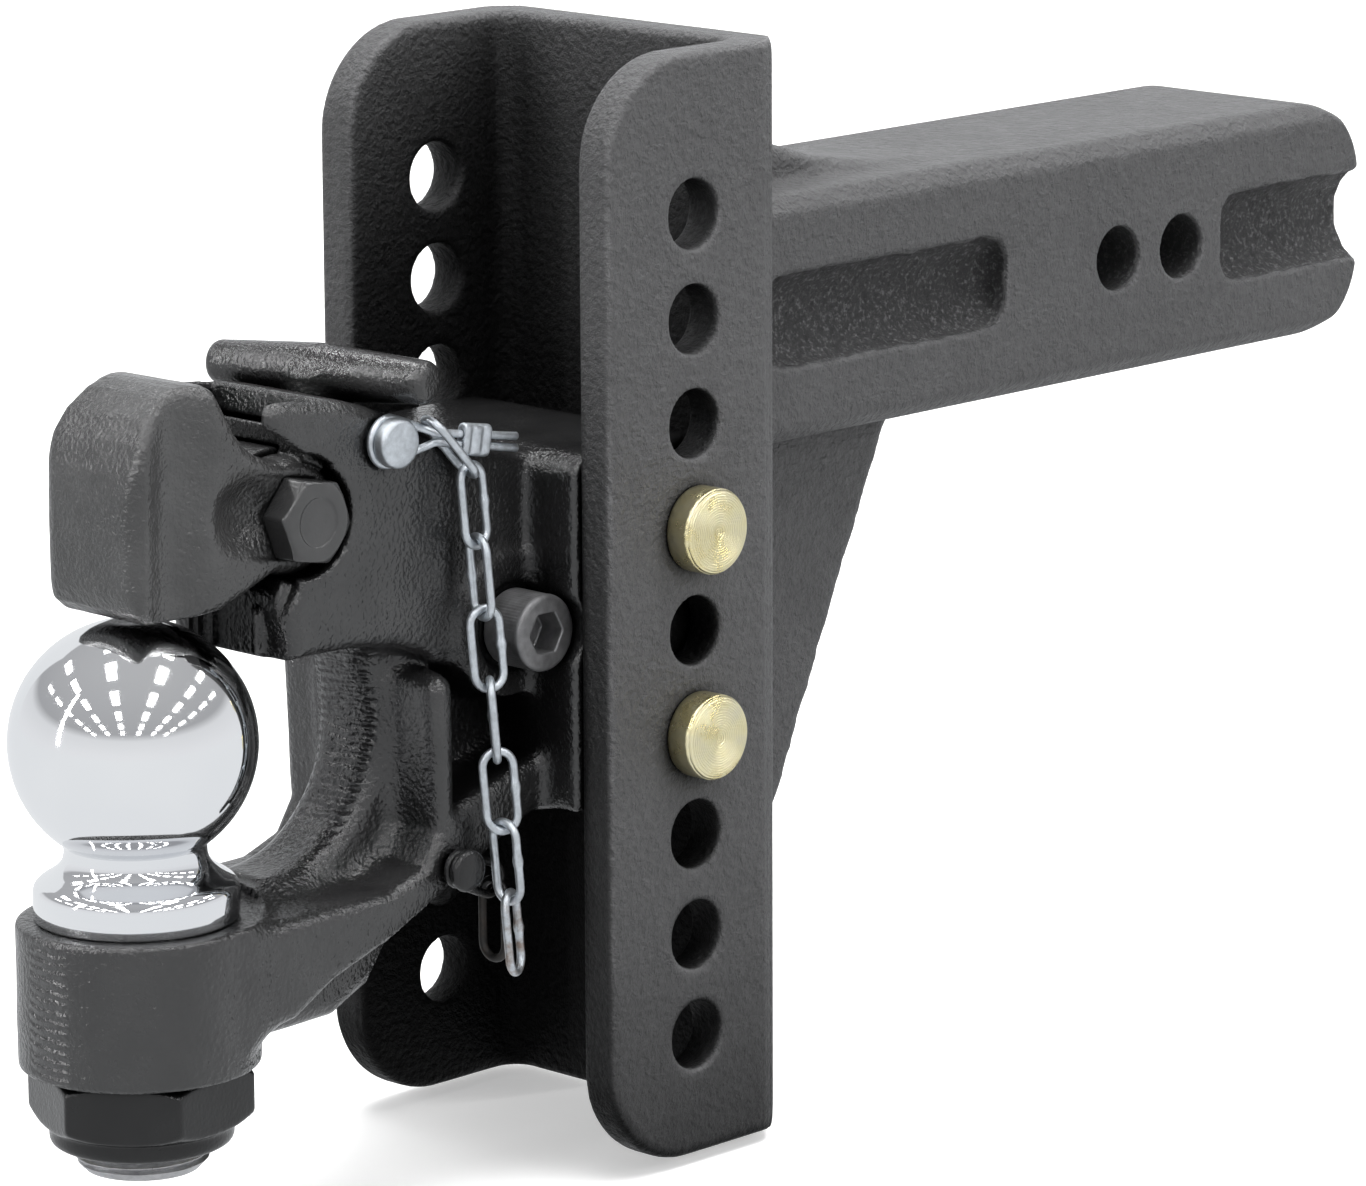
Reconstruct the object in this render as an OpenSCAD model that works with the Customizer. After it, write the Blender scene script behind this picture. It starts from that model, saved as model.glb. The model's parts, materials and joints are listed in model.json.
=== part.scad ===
// Adjustable channel mount with a combination ball and pintle hook.
// Origin: centre of the receiver-pin hole nearer the channel, on the shank centreline.
// +X runs along the shank towards the vehicle, +Y to the far flange, +Z up.

/* [Shank] */
// Square section of the solid shank (2-1/2 inch receiver)
shank_w = 63.5; // [62.5:0.1:63.8]
// Distance from the origin pin hole to the vehicle end of the shank
shank_tail = 100.2; // [80:0.1:130]
// Distance from the channel hole line to the origin pin hole
reach = 177.8; // [175:0.1:260]
// Receiver-pin hole diameter
pin_hole_d = 16.9; // [16.2:0.1:17.5]
// Spacing of the two receiver-pin holes
pin_hole_pitch = 25.4; // [22:0.1:40]
// Edge chamfer of the shank
shank_chamfer = 4.8; // [2:0.1:8]
// Depth of the forged side pockets
pocket_d = 8; // [3:0.5:10]

/* [Channel] */
// Inside width between the channel flanges
channel_gap = 77.44; // [77.2:0.01:79]
// Plate thickness of the channel
channel_t = 10.7; // [9:0.1:12.7]
// Height of the channel above its middle hole
channel_up = 140.5; // [125:0.5:160]
// Depth of the channel below its middle hole
channel_down = 132; // [125:0.5:150]
// Hole line to the open edge of the flanges
edge_dist = 30.15; // [25:0.05:34]
// Hole line to the inside face of the web
web_dist = 24.3; // [24:0.1:30]
// Radius of the rounded open corners
corner_r = 27; // [10:1:35]
// Height hole pitch
hole_pitch = 25.4; // [25.4:0.1:25.4]
// Height holes in each flange
hole_count = 9; // [9:2:9]
// Height hole diameter
hole_d = 16.8; // [16.2:0.1:17.4]
// Drop from the shank centreline to the middle hole
drop = 66.7; // [60:0.1:80]

/* [Hook] */
// Thickness of the hook's upper arm
arm_w = 44; // [43:0.5:48]
// Width of the hook's lower flange
rib_w = 55; // [50:0.5:57]
// Thickness of the hook's web
web_w = 22; // [18:0.5:26]
// Radius of the throat that takes the lunette ring
throat_r = 33.5; // [30:0.5:35]
// Diameter of the ball seat
seat_d = 57.6; // [52:0.1:60]

/* [Ball] */
// Tow ball diameter (2-5/16 inch)
ball_d = 58.74; // [58.0:0.01:58.74]
// Threaded shank diameter of the ball (1-1/4 inch)
ball_shank_d = 31.75; // [30:0.01:31.75]

/* [Latch] */
// Width of the latch
latch_w = 36; // [35:0.1:36]
// Pivot bolt diameter
bolt_d = 12.7; // [12:0.01:12.7]
// Width across the flats of the pivot bolt head and nut
bolt_af = 19.05; // [18:0.05:19.05]

/* [Pins] */
// Hitch pin diameter (5/8 inch)
hitch_pin_d = 15.88; // [15:0.01:15.88]
// Hitch pin head diameter
hitch_head_d = 21; // [19:0.1:24]
// Safety pin diameter (1/4 inch)
safety_pin_d = 6.35; // [6:0.01:6.35]
// Lock stem diameter
stem_d = 14; // [13.5:0.1:14]
// Chain wire diameter
chain_wire_d = 2.1; // [1.8:0.1:2.2]

/* [Hidden] */
$fn = 64;
eps = 0.01; // small overlap between joined shapes

channel_w = channel_gap + 2 * channel_t;
web_out = web_dist + channel_t;   // hole line to the outside face of the web
shank_start = -reach + web_out;   // the shank's end on the web, shank frame

// Places in the head frame, whose origin is on the channel's middle hole, mid-width
pivot_x = -101;         // latch pivot axis
pivot_z = 38.7;
stem_x = -77;           // lock stem axis
safety_z = 54.2;        // safety pin height
detent_z = 44.5;        // lock detent height
ball_x = -138.1;        // tow ball axis
ball_z = -11.2;         // tow ball centre
seat_top = -53;
seat_bottom = -88.7;
stud_pos = [-62, -rib_w / 2, -50.9];
screw_x = -36.7;        // neck screw axis
screw_z = 3.2;
screw_seat_y = -arm_w / 2 - 0.4;

// ---------- shared shapes ----------
// Moves children from the head frame to the shank frame
module head() translate([-reach, 0, -drop]) children();
// Moves children from the latch pivot to the head frame
module at_pivot() translate([pivot_x, 0, pivot_z]) children();
// A plate of width w across Y from an X-Z outline
module plate(w) rotate([90, 0, 0]) linear_extrude(height = w, center = true) children();
// A cylinder of length w along Y, centred on y
module y_cylinder(x, z, r, w, y = 0)
    translate([x, y, z]) rotate([90, 0, 0]) cylinder(r = r, h = w, center = true);
// Children built up along Z, laid along +Y from y
module from_y(y) translate([0, y, 0]) rotate([-90, 0, 0]) children();
// A box from its low and high corners
module box_between(low, high) translate(low) cube(high - low);
// Cutter for a rounded edge: a box less a cylinder along Y
module edge_cut(low, high, x, z, r, w) difference() {
    box_between(low, high);
    y_cylinder(x, z, r, w);
}

function unit(v) = v / norm(v);
// Ring of points round a centre, square to the tangent, started from up
function ring(centre, tangent, up, r, sides) =
    let (across = unit(up - tangent * (up * tangent)), other = cross(tangent, across))
    [for (i = [0:sides - 1])
        centre + r * (cos(360 * i / sides) * across + sin(360 * i / sides) * other)];
// Round wire along a planar or gently curved path; up is never along the path
module wire(path, r, up, sides = 10, closed = false) {
    count = len(path);
    tangents = [for (i = [0:count - 1])
        unit(closed ? path[(i + 1) % count] - path[(i + count - 1) % count]
                    : path[min(i + 1, count - 1)] - path[max(i - 1, 0)])];
    points = [for (i = [0:count - 1]) each ring(path[i], tangents[i], up, r, sides)];
    side_faces = [for (i = [0:(closed ? count : count - 1) - 1], j = [0:sides - 1])
        let (next_i = (i + 1) % count, next_j = (j + 1) % sides,
             a = i * sides + j, b = i * sides + next_j,
             c = next_i * sides + next_j, d = next_i * sides + j)
        each [[c, b, a], [d, c, a]]];
    caps = closed ? [] : [[for (j = [0:sides - 1]) j],
                          [for (j = [sides - 1:-1:0]) (count - 1) * sides + j]];
    polyhedron(points = points, faces = concat(side_faces, caps), convexity = 6);
}

// ---------- mount ----------
bend_out = 14;      // outer bend radius
bend_in = 5;        // inner bend radius
nose_r = 22;        // rounded vehicle end of the shank
gusset_w = 30;
gusset_z = -drop - 118;     // bottom of the gusset

// Plan view of the channel, open towards -X
module channel_profile() {
    difference() {
        union() {
            translate([-edge_dist, -channel_w / 2])
                square([edge_dist + web_out - bend_out, channel_w]);
            translate([-edge_dist, -channel_w / 2 + bend_out])
                square([edge_dist + web_out, channel_w - 2 * bend_out]);
            for (side = [-1, 1])
                translate([web_out - bend_out, side * (channel_w / 2 - bend_out)])
                    circle(r = bend_out);
        }
        translate([-edge_dist - 1, -channel_gap / 2])
            square([edge_dist + 1 + web_dist - bend_in, channel_gap]);
        translate([-edge_dist - 1, -channel_gap / 2 + bend_in])
            square([edge_dist + 1 + web_dist, channel_gap - 2 * bend_in]);
        for (side = [-1, 1])
            translate([web_dist - bend_in, side * (channel_gap / 2 - bend_in)])
                circle(r = bend_in);
    }
}
module channel() color([0.22, 0.22, 0.23]) head() difference() {
    translate([0, 0, -channel_down])
        linear_extrude(height = channel_down + channel_up) channel_profile();
    // Rounded open corners; each row is the cutter's low z and its cylinder's z
    for (row = [[channel_up - corner_r, channel_up - corner_r],
                [-channel_down - 1, -channel_down + corner_r]])
        edge_cut([-edge_dist - 1, -channel_w, row[0]],
                 [-edge_dist + corner_r, channel_w, row[0] + corner_r + 1],
                 -edge_dist + corner_r, row[1], corner_r, 3 * channel_w);
    for (i = [0:hole_count - 1])
        y_cylinder(0, (i - (hole_count - 1) / 2) * hole_pitch, hole_d / 2, 2 * channel_w);
}

module chamfered_square(w, c) polygon([
    [-w / 2 + c, -w / 2], [w / 2 - c, -w / 2], [w / 2, -w / 2 + c], [w / 2, w / 2 - c],
    [w / 2 - c, w / 2], [-w / 2 + c, w / 2], [-w / 2, w / 2 - c], [-w / 2, -w / 2 + c]]);
// A pair of forged side pockets: round-bottomed grooves with rounded ends
module side_pocket(start, end, open_end) {
    half_h = 13.3;
    end_r = 9;
    groove_r = (half_h * half_h + pocket_d * pocket_d) / (2 * pocket_d);
    for (side = [-1, 1]) intersection() {
        translate([start - 5, side * (shank_w / 2 - pocket_d + groove_r), 0])
            rotate([0, 90, 0]) cylinder(r = groove_r, h = end - start + 10);
        union() {
            box_between([start + end_r, -shank_w, -half_h - 0.5],
                        [open_end ? end + 1 : end - end_r, shank_w, half_h + 0.5]);
            box_between([start, -shank_w, -half_h + 8.5],
                        [open_end ? end + 1 : end - eps, shank_w, half_h - 8.5]);
            for (x = open_end ? [start + end_r] : [start + end_r, end - end_r], k = [-1, 1])
                y_cylinder(x, k * (half_h - 8.6), end_r, 2 * shank_w);
        }
    }
}
// X-Z outline of the buttress, x from the channel web
buttress_outline = [
    [0, 20], [0, 59], [12, 49.5], [27, 42], [45, 36.5], [68, 32.6], [84, 31], [84, 20]];
module shank() color([0.24, 0.24, 0.25]) difference() {
    union() {
        translate([shank_start, 0, 0]) rotate([90, 0, 90])
            linear_extrude(height = shank_tail - shank_start)
                chamfered_square(shank_w, shank_chamfer);
        // Forged buttress between the shank top and the channel web
        translate([shank_start, 0, 0]) plate(34) polygon(buttress_outline);
    }
    // Rounded nose at the vehicle end, top and bottom
    for (side = [-1, 1])
        edge_cut([shank_tail - nose_r, -shank_w,
                  side > 0 ? shank_w / 2 - nose_r : -shank_w / 2 - 1],
                 [shank_tail + 1, shank_w,
                  side > 0 ? shank_w / 2 + 1 : -shank_w / 2 + nose_r],
                 shank_tail - nose_r, side * (shank_w / 2 - nose_r), nose_r, 3 * shank_w);
    side_pocket(-reach + 43.5, -reach + 133.5, open_end = false);
    side_pocket(shank_tail - 58.3, shank_tail, open_end = true);
    for (x = [0, pin_hole_pitch]) y_cylinder(x, 0, pin_hole_d / 2, 2 * shank_w);
}
module gusset() color([0.23, 0.23, 0.24])
    translate([shank_start, 0, 0]) plate(gusset_w) polygon([
        [0, -shank_w / 2], [74, -shank_w / 2], [71, -shank_w / 2 - 8],
        [9, gusset_z + 6], [0, gusset_z]]);
// Fillet welds that join the shank and the gusset to the channel web
module weld_beads() color([0.2, 0.2, 0.21]) translate([shank_start, 0, 0]) {
    for (side = [-1, 1]) {
        // Bead down each side of the gusset
        translate([0, side * gusset_w / 2, gusset_z + 10])
            linear_extrude(height = -gusset_z - 10 - shank_w / 2 - 4)
                polygon([[0, 0], [9, 0], [7.5, side * 4], [4, side * 7.5], [0, side * 9]]);
        // Bead beside the buttress, at the root of the shank
        translate([0, side * 23.3, shank_w / 2])
            plate(12) polygon([[0, 0], [7.5, 0], [6.5, 3], [3, 6.5], [0, 7.5]]);
    }
    // Bead under the gusset toe
    plate(gusset_w) polygon([
        [0, gusset_z], [5, gusset_z + 3.3], [4.5, gusset_z - 1.5], [0, gusset_z - 6]]);
}

// ---------- hook ----------
block_w = 76.2;
block_low = [-30, -block_w / 2, -42.4];
block_high = [22, block_w / 2, 45.5];
lug_w = 16;         // central lug, between the latch ears
lug_r = 15.5;
ear_y = 13.25;      // middle of each ear pocket
ear_room_w = 10.5;
wing_y = 21;        // middle of each side wing cut
wing_room_w = 6;
handle_z = 68;      // lock handle crossbar
handle_turn = 14;
detent_r = 3.1;
stud_r = 2.3;

// X-Z outlines in the head frame
arm_outline = [
    [-106.5, 5.5], [-95, 5.4], [-84, 4.9], [-72, 3], [-62, -0.6], [-52, -6], [-44, -12],
    [-29, -14], [-29, 44], [-36, 46.5], [-50, 51], [-66, 57.5], [-76, 61.5], [-89, 65.5],
    [-103, 67], [-111, 68], [-113.4, 66.4], [-114.2, 64], [-113, 61.4], [-110, 58],
    [-108, 54], [-108, 16.5]];
rib_outline = [
    [-66.5, -7], [-62.5, -4.5], [-59, -7.5], [-58.8, -36.5], [-42, -31.6], [-29, -28],
    [-29, -42.3], [-37, -45], [-49, -51], [-68, -60], [-82, -66.5], [-99, -72], [-112, -79],
    [-128, -81], [-128, -55], [-110, -54.2], [-100, -53.8], [-81, -53.5], [-70, -49.5],
    [-65.3, -42], [-65.8, -30]];
web_outline = [
    [-75, 8], [-29, 8], [-29, -41], [-50, -51], [-62, -68], [-72, -82], [-84, -87.5],
    [-112, -88.2], [-112, -54], [-104.5, -51], [-104.5, -16], [-75, -16]];
beak_outline = [
    [-104, 5.6], [-110.5, 5.6], [-114, 10.5], [-118, 14.5], [-119.5, 17], [-104, 17.4]];

module hook_web() difference() {
    polygon(web_outline);
    translate([-104.5, -16]) circle(r = throat_r);
}
// Insert block that fits between the channel flanges
module insert_block() difference() {
    box_between(block_low, block_high);
    // Corners on the web side clear the channel's inner bends
    for (side = [-1, 1])
        translate([block_high[0], side * block_w / 2, 0])
            rotate([0, 0, 45]) cube([5, 5, 120], center = true);
    // Relief round the neck screw head
    y_cylinder(screw_x, screw_z, 10.4, 35.2, -40);
    // Rounded edges: top on the hook side, then top and bottom on the web side
    edge_cut([-31, -40, 38.5], [-23, 40, 46], -23, 38.5, 7, 90);
    edge_cut([8, -40, 31.5], [23, 40, 46], 8, 31.5, 14, 90);
    edge_cut([8, -40, -43], [23, 40, -28.4], 8, -28.4, 14, 90);
}
// Rotating clearance for the latch ears and the latch's open sweep
module latch_room() at_pivot() for (side = [-1, 1]) {
    // Ear pockets beside the central lug
    y_cylinder(0, 0, 14.8, ear_room_w, side * ear_y);
    // Open top between the side wings
    translate([0, side * ear_y, 0]) plate(ear_room_w) polygon([
        [0, 0], [9.3, 32], [-40, 40], [-40, -21.2], [-9, -21.2], [-5, -14.4]]);
    // Cut-out in each wing round the bolt head or nut
    y_cylinder(0, 0, 13.6, wing_room_w, side * wing_y);
    translate([0, side * wing_y, 0]) plate(wing_room_w) polygon([
        [0, 0], [8, 12], [3.3, 14.8], [-1.4, 16], [-6, 19.4], [-9.5, 21.4], [-25, 24],
        [-25, -22], [-7, -22], [-3.2, -16]]);
}
// Sweep of the locking tooth on the +X side of the pivot
module tooth_room() at_pivot() intersection() {
    difference() {
        y_cylinder(0, 0, 21.5, 37);
        y_cylinder(0, 0, lug_r, lug_w);
    }
    plate(40) polygon([[0, 0], [0, -1.5], [30, -1.5], [30, 9], [14, 30], [0, 34]]);
}
// Room above the central lug and on its -X side
module lug_room() at_pivot() plate(lug_w + 0.02) difference() {
    polygon([[-40, -21.2], [-15, -21.2], [0, 0], [9.3, 32], [-40, 40]]);
    circle(r = lug_r);
    polygon([[-lug_r, 0], [0, 0], [0, -22], [-lug_r, -22]]);
}
module hook_body() color([0.1, 0.1, 0.1]) head() difference() {
    union() {
        plate(arm_w) polygon(arm_outline);
        plate(rib_w) polygon(rib_outline);
        plate(web_w) hook_web();
        // Beak below the latch, on the ball side of the arm
        plate(24) polygon(beak_outline);
        // Boss for the neck screw
        y_cylinder(screw_x, screw_z, 17, arm_w + 0.8);
        insert_block();
        // Ball seat
        translate([ball_x, 0, seat_bottom]) cylinder(d = seat_d, h = seat_top - seat_bottom);
    }
    latch_room();
    lug_room();
    tooth_room();
    // Lug bore for the pivot bolt
    y_cylinder(pivot_x, pivot_z, bolt_d / 2 + 0.05, 30);
    // Lock stem guide bore, and the detent bore on its +X side
    translate([stem_x, 0, 29.5]) cylinder(d = stem_d + 0.12, h = 50);
    translate([stem_x + 4, 0, detent_z])
        rotate([0, 90, 0]) cylinder(r = detent_r + 0.1, h = 18.6);
    // Saddle under the handle's crossbar
    translate([stem_x, 0, handle_z]) rotate([0, 0, handle_turn])
        rotate([90, 0, 0]) cylinder(r = 7.5, h = 90, center = true);
    translate([stem_x, 0, 61]) cylinder(r = 9, h = 12);
    // Safety pin bore
    y_cylinder(stem_x, safety_z, safety_pin_d / 2 + 0.06, 60);
    // Insert cross bores
    for (side = [-1, 1]) y_cylinder(0, side * hole_pitch, hole_d / 2 - 0.2, 90);
    // Ball shank bore
    translate([ball_x, 0, seat_bottom - 1]) cylinder(d = ball_shank_d + 0.3, h = 60);
    // Neck screw bore
    y_cylinder(screw_x, screw_z, 6.4, 44, -6);
    // Chain stud bore
    translate(stud_pos) from_y(-1) cylinder(r = stud_r + 0.01, h = 13);
}

// ---------- ball ----------
ball_nut_z = -102.6;    // bottom of the nut's hexagon
collar_z = -107.6;      // bottom of the nut's collar

// Neck, flange and threaded shank of the ball: radius, z
ball_stem_profile = [
    [0, ball_z], [16.6, ball_z - 18], [16.4, -38.2], [17.2, -39.6], [19, -41.6],
    [21.6, -43.4], [23.2, -44.6], [24, -46.2], [24, seat_top], [ball_shank_d / 2, seat_top],
    [ball_shank_d / 2, -111.6], [13.8, -113.7], [0, -113.7]];
module tow_ball() color([0.85, 0.86, 0.88]) head() translate([ball_x, 0, 0]) difference() {
    union() {
        translate([0, 0, ball_z]) sphere(d = ball_d, $fn = 96);
        rotate_extrude() polygon(ball_stem_profile);
    }
    // Flat on top of the ball
    translate([0, 0, ball_z + ball_d / 2 - 0.45]) cylinder(r = 12, h = 5);
}
module ball_nut() color([0.1, 0.1, 0.1]) head() translate([ball_x, 0, 0]) difference() {
    union() {
        // Hexagon with chamfered corners
        translate([0, 0, ball_nut_z]) rotate([0, 0, 8]) intersection() {
            cylinder(r = 27.2, h = seat_bottom - ball_nut_z, $fn = 6);
            union() {
                translate([0, 0, -1]) cylinder(r1 = 23.6, r2 = 28.2, h = 3.2);
                translate([0, 0, 2.2 - eps]) cylinder(r = 28.2, h = 10);
                translate([0, 0, 10.7]) cylinder(r1 = 28.2, r2 = 22.6, h = 4.2);
            }
        }
        // Collar below the hexagon
        translate([0, 0, collar_z]) cylinder(r1 = 20.6, r2 = 22, h = 1.4);
        translate([0, 0, collar_z + 1.4 - eps]) cylinder(r = 22, h = 4.2);
    }
    translate([0, 0, -110]) cylinder(d = ball_shank_d + 0.02, h = 30);
    // Recess for the insert
    translate([0, 0, collar_z - 0.4]) cylinder(r = 18.6, h = 4.4);
}
module ball_nut_insert() color([0.85, 0.85, 0.8]) head()
    translate([ball_x, 0, collar_z + 0.4]) difference() {
        cylinder(r = 18.5, h = 3.5);
        translate([0, 0, -1]) cylinder(d = ball_shank_d + 0.02, h = 6);
    }

// ---------- latch ----------
ear_slot_w = 16.6;              // slot between the latch ears
bolt_seat_y = latch_w / 2 - 1;  // floor of the shallow bolt and nut seats
bolt_turn = 9.9;                // turn of the hexagons about the bolt
bolt_head_h = 7.9;
bolt_head_y = -bolt_seat_y - bolt_head_h;
washer_t = 2.4;
nut_y = bolt_seat_y + washer_t;
hex_round_r = 11.4;             // cylinder and cone that trim the hex corners
hex_face_r = 9.3;

// X-Z outline in the head frame: nose, top, pivot end, underside
latch_outline = [
    [-142, 19], [-147.3, 20.6], [-150.2, 26], [-150.6, 33], [-150.6, 48], [-149.6, 55],
    [-147.3, 62], [-143.8, 67.5], [-138.5, 71.8], [-131, 73.8], [-126.5, 73.4],
    [-124.4, 72.2], [-120.5, 65.4], [-118.2, 61.2], [-115.6, 58.2], [-112, 55.4],
    [pivot_x - 6, pivot_z + 14.6], [pivot_x + 3, pivot_z + 12.4], [pivot_x + 5, pivot_z],
    [pivot_x + 3, pivot_z - 12.4], [pivot_x - 7, pivot_z - 13],
    [-116, 22.5], [-124, 19.6], [-134, 19]];
// Locking tooth on the +X side of the pivot, across both ears
module latch_tooth() at_pivot() intersection() {
    difference() {
        y_cylinder(0, 0, 20.5, latch_w);
        y_cylinder(0, 0, 13, 50);
        y_cylinder(0, 0, 15.9, ear_slot_w);
    }
    plate(50) polygon([[0, 0], [17.8, 22.5], [8, 30], [4.2, 24]]);
}
module latch() color([0.11, 0.11, 0.11]) head() difference() {
    union() {
        difference() {
            union() {
                plate(latch_w) polygon(latch_outline);
                y_cylinder(pivot_x, pivot_z, 14.2, latch_w);
            }
            // Slot for the hook's central lug
            y_cylinder(pivot_x, pivot_z, 31.5, ear_slot_w);
        }
        latch_tooth();
    }
    // Rounded nose, both sides
    for (side = [-1, 1]) difference() {
        translate([-152, side > 0 ? 12 : -19, 10]) cube([8.1, 7, 70]);
        translate([-144, side * 12, 9]) cylinder(r = 6.62, h = 72);
    }
    // Pivot bolt bore and shallow seats that hold the head and the washer
    at_pivot() {
        y_cylinder(0, 0, bolt_d / 2 + 0.02, 60);
        translate([0, -latch_w / 2, 0]) rotate([0, bolt_turn, 0])
            translate([-25, -1, -bolt_af / 2 - 0.1]) cube([45, 2, bolt_af + 0.2]);
        y_cylinder(0, 0, 12.8, 2, latch_w / 2);
    }
}
// Hexagon along +Y from y, with the pivot bolt's flats
module bolt_hex(y, h)
    rotate([0, bolt_turn, 0]) from_y(y) cylinder(d = bolt_af / cos(30), h = h, $fn = 6);
module latch_pivot_bolt() color([0.12, 0.12, 0.12]) head() at_pivot() difference() {
    union() {
        intersection() {
            bolt_hex(bolt_head_y, bolt_head_h);
            union() {
                from_y(bolt_head_y) cylinder(r1 = hex_face_r, r2 = hex_round_r, h = 1.2);
                from_y(bolt_head_y + 1.2 - eps) cylinder(r = hex_round_r, h = 7);
            }
        }
        from_y(-bolt_seat_y - eps) cylinder(d = bolt_d, h = 48);
    }
    // Grade marks: three radial grooves in the head's face
    for (a = [0, 120, 240])
        rotate([0, a, 0]) translate([4, bolt_head_y - 0.5, -0.3]) cube([3, 0.7, 0.6]);
}
module latch_pivot_nut() color([0.12, 0.12, 0.12]) head() at_pivot() difference() {
    intersection() {
        bolt_hex(nut_y, 10.6);
        union() {
            from_y(nut_y - eps) cylinder(r = hex_round_r, h = 9.6);
            from_y(nut_y + 9.6 - 2 * eps)
                cylinder(r1 = hex_round_r, r2 = hex_face_r, h = 1.1);
        }
    }
    y_cylinder(0, 0, bolt_d / 2 + 0.01, 80);
}
module latch_pivot_washer() color([0.45, 0.46, 0.48]) head() at_pivot() difference() {
    from_y(bolt_seat_y) cylinder(r = 12.4, h = washer_t);
    y_cylinder(0, 0, bolt_d / 2 + 0.15, 80);
}

// ---------- lock ----------
lock_stroke = 10;
fork_half = 3.34;       // half the fork's slot
prong_z = 43.1;         // bottom of the short prong
keyway_x = 5.4;         // keyway floor, from the stem axis
keyway_half = 3.3;
spring_turns = 6;
turn_steps = 18;
spring_start = 12.1;    // from the stem axis
spring_length = 9.9;
coil_r = 2.45;

module lock_handle() color([0.11, 0.11, 0.11]) head() translate([stem_x, 0, 0]) difference() {
    union() {
        // Tapered crossbar, turned a little about the stem
        translate([0, 0, handle_z]) rotate([0, 0, handle_turn])
            for (side = [-1, 1]) rotate([side * 90, 0, 0]) {
                cylinder(r1 = 7, r2 = 5.3, h = 30.5);
                translate([0, 0, 30.4]) cylinder(r1 = 5.3, r2 = 3.9, h = 1.6);
            }
        // Stem and flared neck
        translate([0, 0, 30]) cylinder(d = stem_d, h = 33);
        translate([0, 0, 61.6]) cylinder(r1 = 8.4, r2 = 6.2, h = 5.6);
    }
    // Fork that straddles the safety pin
    box_between([-fork_half, -20, 20], [fork_half, 20, safety_z + fork_half]);
    // The short prong stops above the latch tooth's level
    box_between([-12, -20, 20], [0, 20, prong_z]);
    translate([-4.9, 0, prong_z]) rotate([0, 45, 0]) cube([6, 20, 6], center = true);
    // Keyway that the detent ball rides in
    box_between([keyway_x, -keyway_half, detent_z - lock_stroke - keyway_half],
                [8, keyway_half, detent_z + keyway_half]);
}
module lock_detent_ball() color([0.75, 0.76, 0.78]) head()
    translate([stem_x + keyway_x + 0.02 + detent_r, 0, detent_z]) sphere(r = detent_r);
// Share of the spring's length at share t of its turns; the end coils lie closer
function coil_rise(t) =
    t < 0.12 ? t * 0.5 :
    t > 0.88 ? 1 - (1 - t) * 0.5 :
    0.06 + (t - 0.12) * 0.88 / 0.76;
// Compression spring on the +X side of the detent ball
module lock_spring() color([0.6, 0.61, 0.64]) head() {
    steps = spring_turns * turn_steps;
    wire([for (i = [0:steps]) let (a = 360 / turn_steps * i)
         [stem_x + spring_start + spring_length * coil_rise(i / steps),
          coil_r * cos(a), detent_z + coil_r * sin(a)]],
         r = 0.35, up = [1, 0, 0], sides = 6);
}

// ---------- safety pin and tether ----------
tether_y = -23.35;  // plane of the tether ring
tether_r = 1.0;     // tether wire radius
tether_loop_r = 5.6;
ferrule_l = 8.6;

module safety_pin() color([0.75, 0.77, 0.8]) head()
    translate([stem_x, 0, safety_z]) rotate([-90, 0, 0]) {
        translate([0, 0, -28.3]) cylinder(r1 = 5.4, r2 = 6, h = 0.7);
        translate([0, 0, -27.6 - eps]) cylinder(r = 6, h = 3.2);
        translate([0, 0, -24.4 - eps]) cylinder(r = 4.2, h = 2.4);
        translate([0, 0, -23]) cylinder(d = safety_pin_d, h = 49);
        translate([0, 0, 26 - eps]) cylinder(r1 = safety_pin_d / 2, r2 = 2, h = 1.6);
    }
// One side of the tether, from the ring's -X point: ring, neck, then straight tail
function tether_path(side) = concat(
    [for (i = [0:9]) let (a = 180 - side * i * 11)
        [tether_loop_r * cos(a), 0, tether_loop_r * sin(a)]],
    [for (k = [1:6]) let (t = k / 6)
        [3.2 + 9.8 * t, -2.6 * t * t, -0.6 * t + side * (4.9 * (1 - t) + 1.15 * t)]],
    [for (k = [1:5]) let (t = k / 5)
        [13 + 25 * t, -2.6 - 1.6 * t, -0.6 - 4.4 * t + side * (1.15 + 0.3 * t)]]);
// Wire ring round the pin, led out into the ferrule
module tether_wire() color([0.78, 0.8, 0.82]) head()
    translate([stem_x, tether_y, safety_z]) for (side = [-1, 1])
        wire(tether_path(side), r = tether_r, up = [0, 1, 0], sides = 8);
module wire_ferrule() color([0.7, 0.72, 0.74]) head()
    translate([stem_x + 20.6, tether_y - 3.1, safety_z - 1.95]) rotate([0, 9.5, -3.7])
        difference() {
            union() {
                box_between([0, -1.7, -2.3], [ferrule_l, 1.7, 2.3]);
                for (side = [-1, 1])
                    translate([0, 0, side * 2.3])
                        rotate([0, 90, 0]) cylinder(r = 1.7, h = ferrule_l);
            }
            for (side = [-1, 1])
                translate([-1, 0, side * 1.2]) rotate([0, 90, 0]) cylinder(r = 1.15, h = 12);
        }

// ---------- chain ----------
link_half = 5.95;   // straight half-length of a link
link_r = 3.8;       // end radius of a link
link_wire_r = chain_wire_d / 2;
link_end = link_half + link_r;  // centre to the middle of the end wire
link_pitch = 2 * link_end - chain_wire_d - 0.08;

// First link, hung from the tether
first_dir = unit([0.66, -0.05, -0.75]);
tether_point = [stem_x + 11.3, -26.9, safety_z + 2.6];
first_pos = tether_point + first_dir * (link_end - link_wire_r - tether_r - 0.1);
// Hanging run below it, and the turn of each link about the run
hang_dir = unit([0.022, -0.092, -1]);
hang_pos = first_pos + first_dir * link_end
    + unit(-0.1 * first_dir - hang_dir) * (chain_wire_d + 0.12) + hang_dir * link_end;
hang_turns = [-12, 88, -20, 65, -25, 50, -40];
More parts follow.
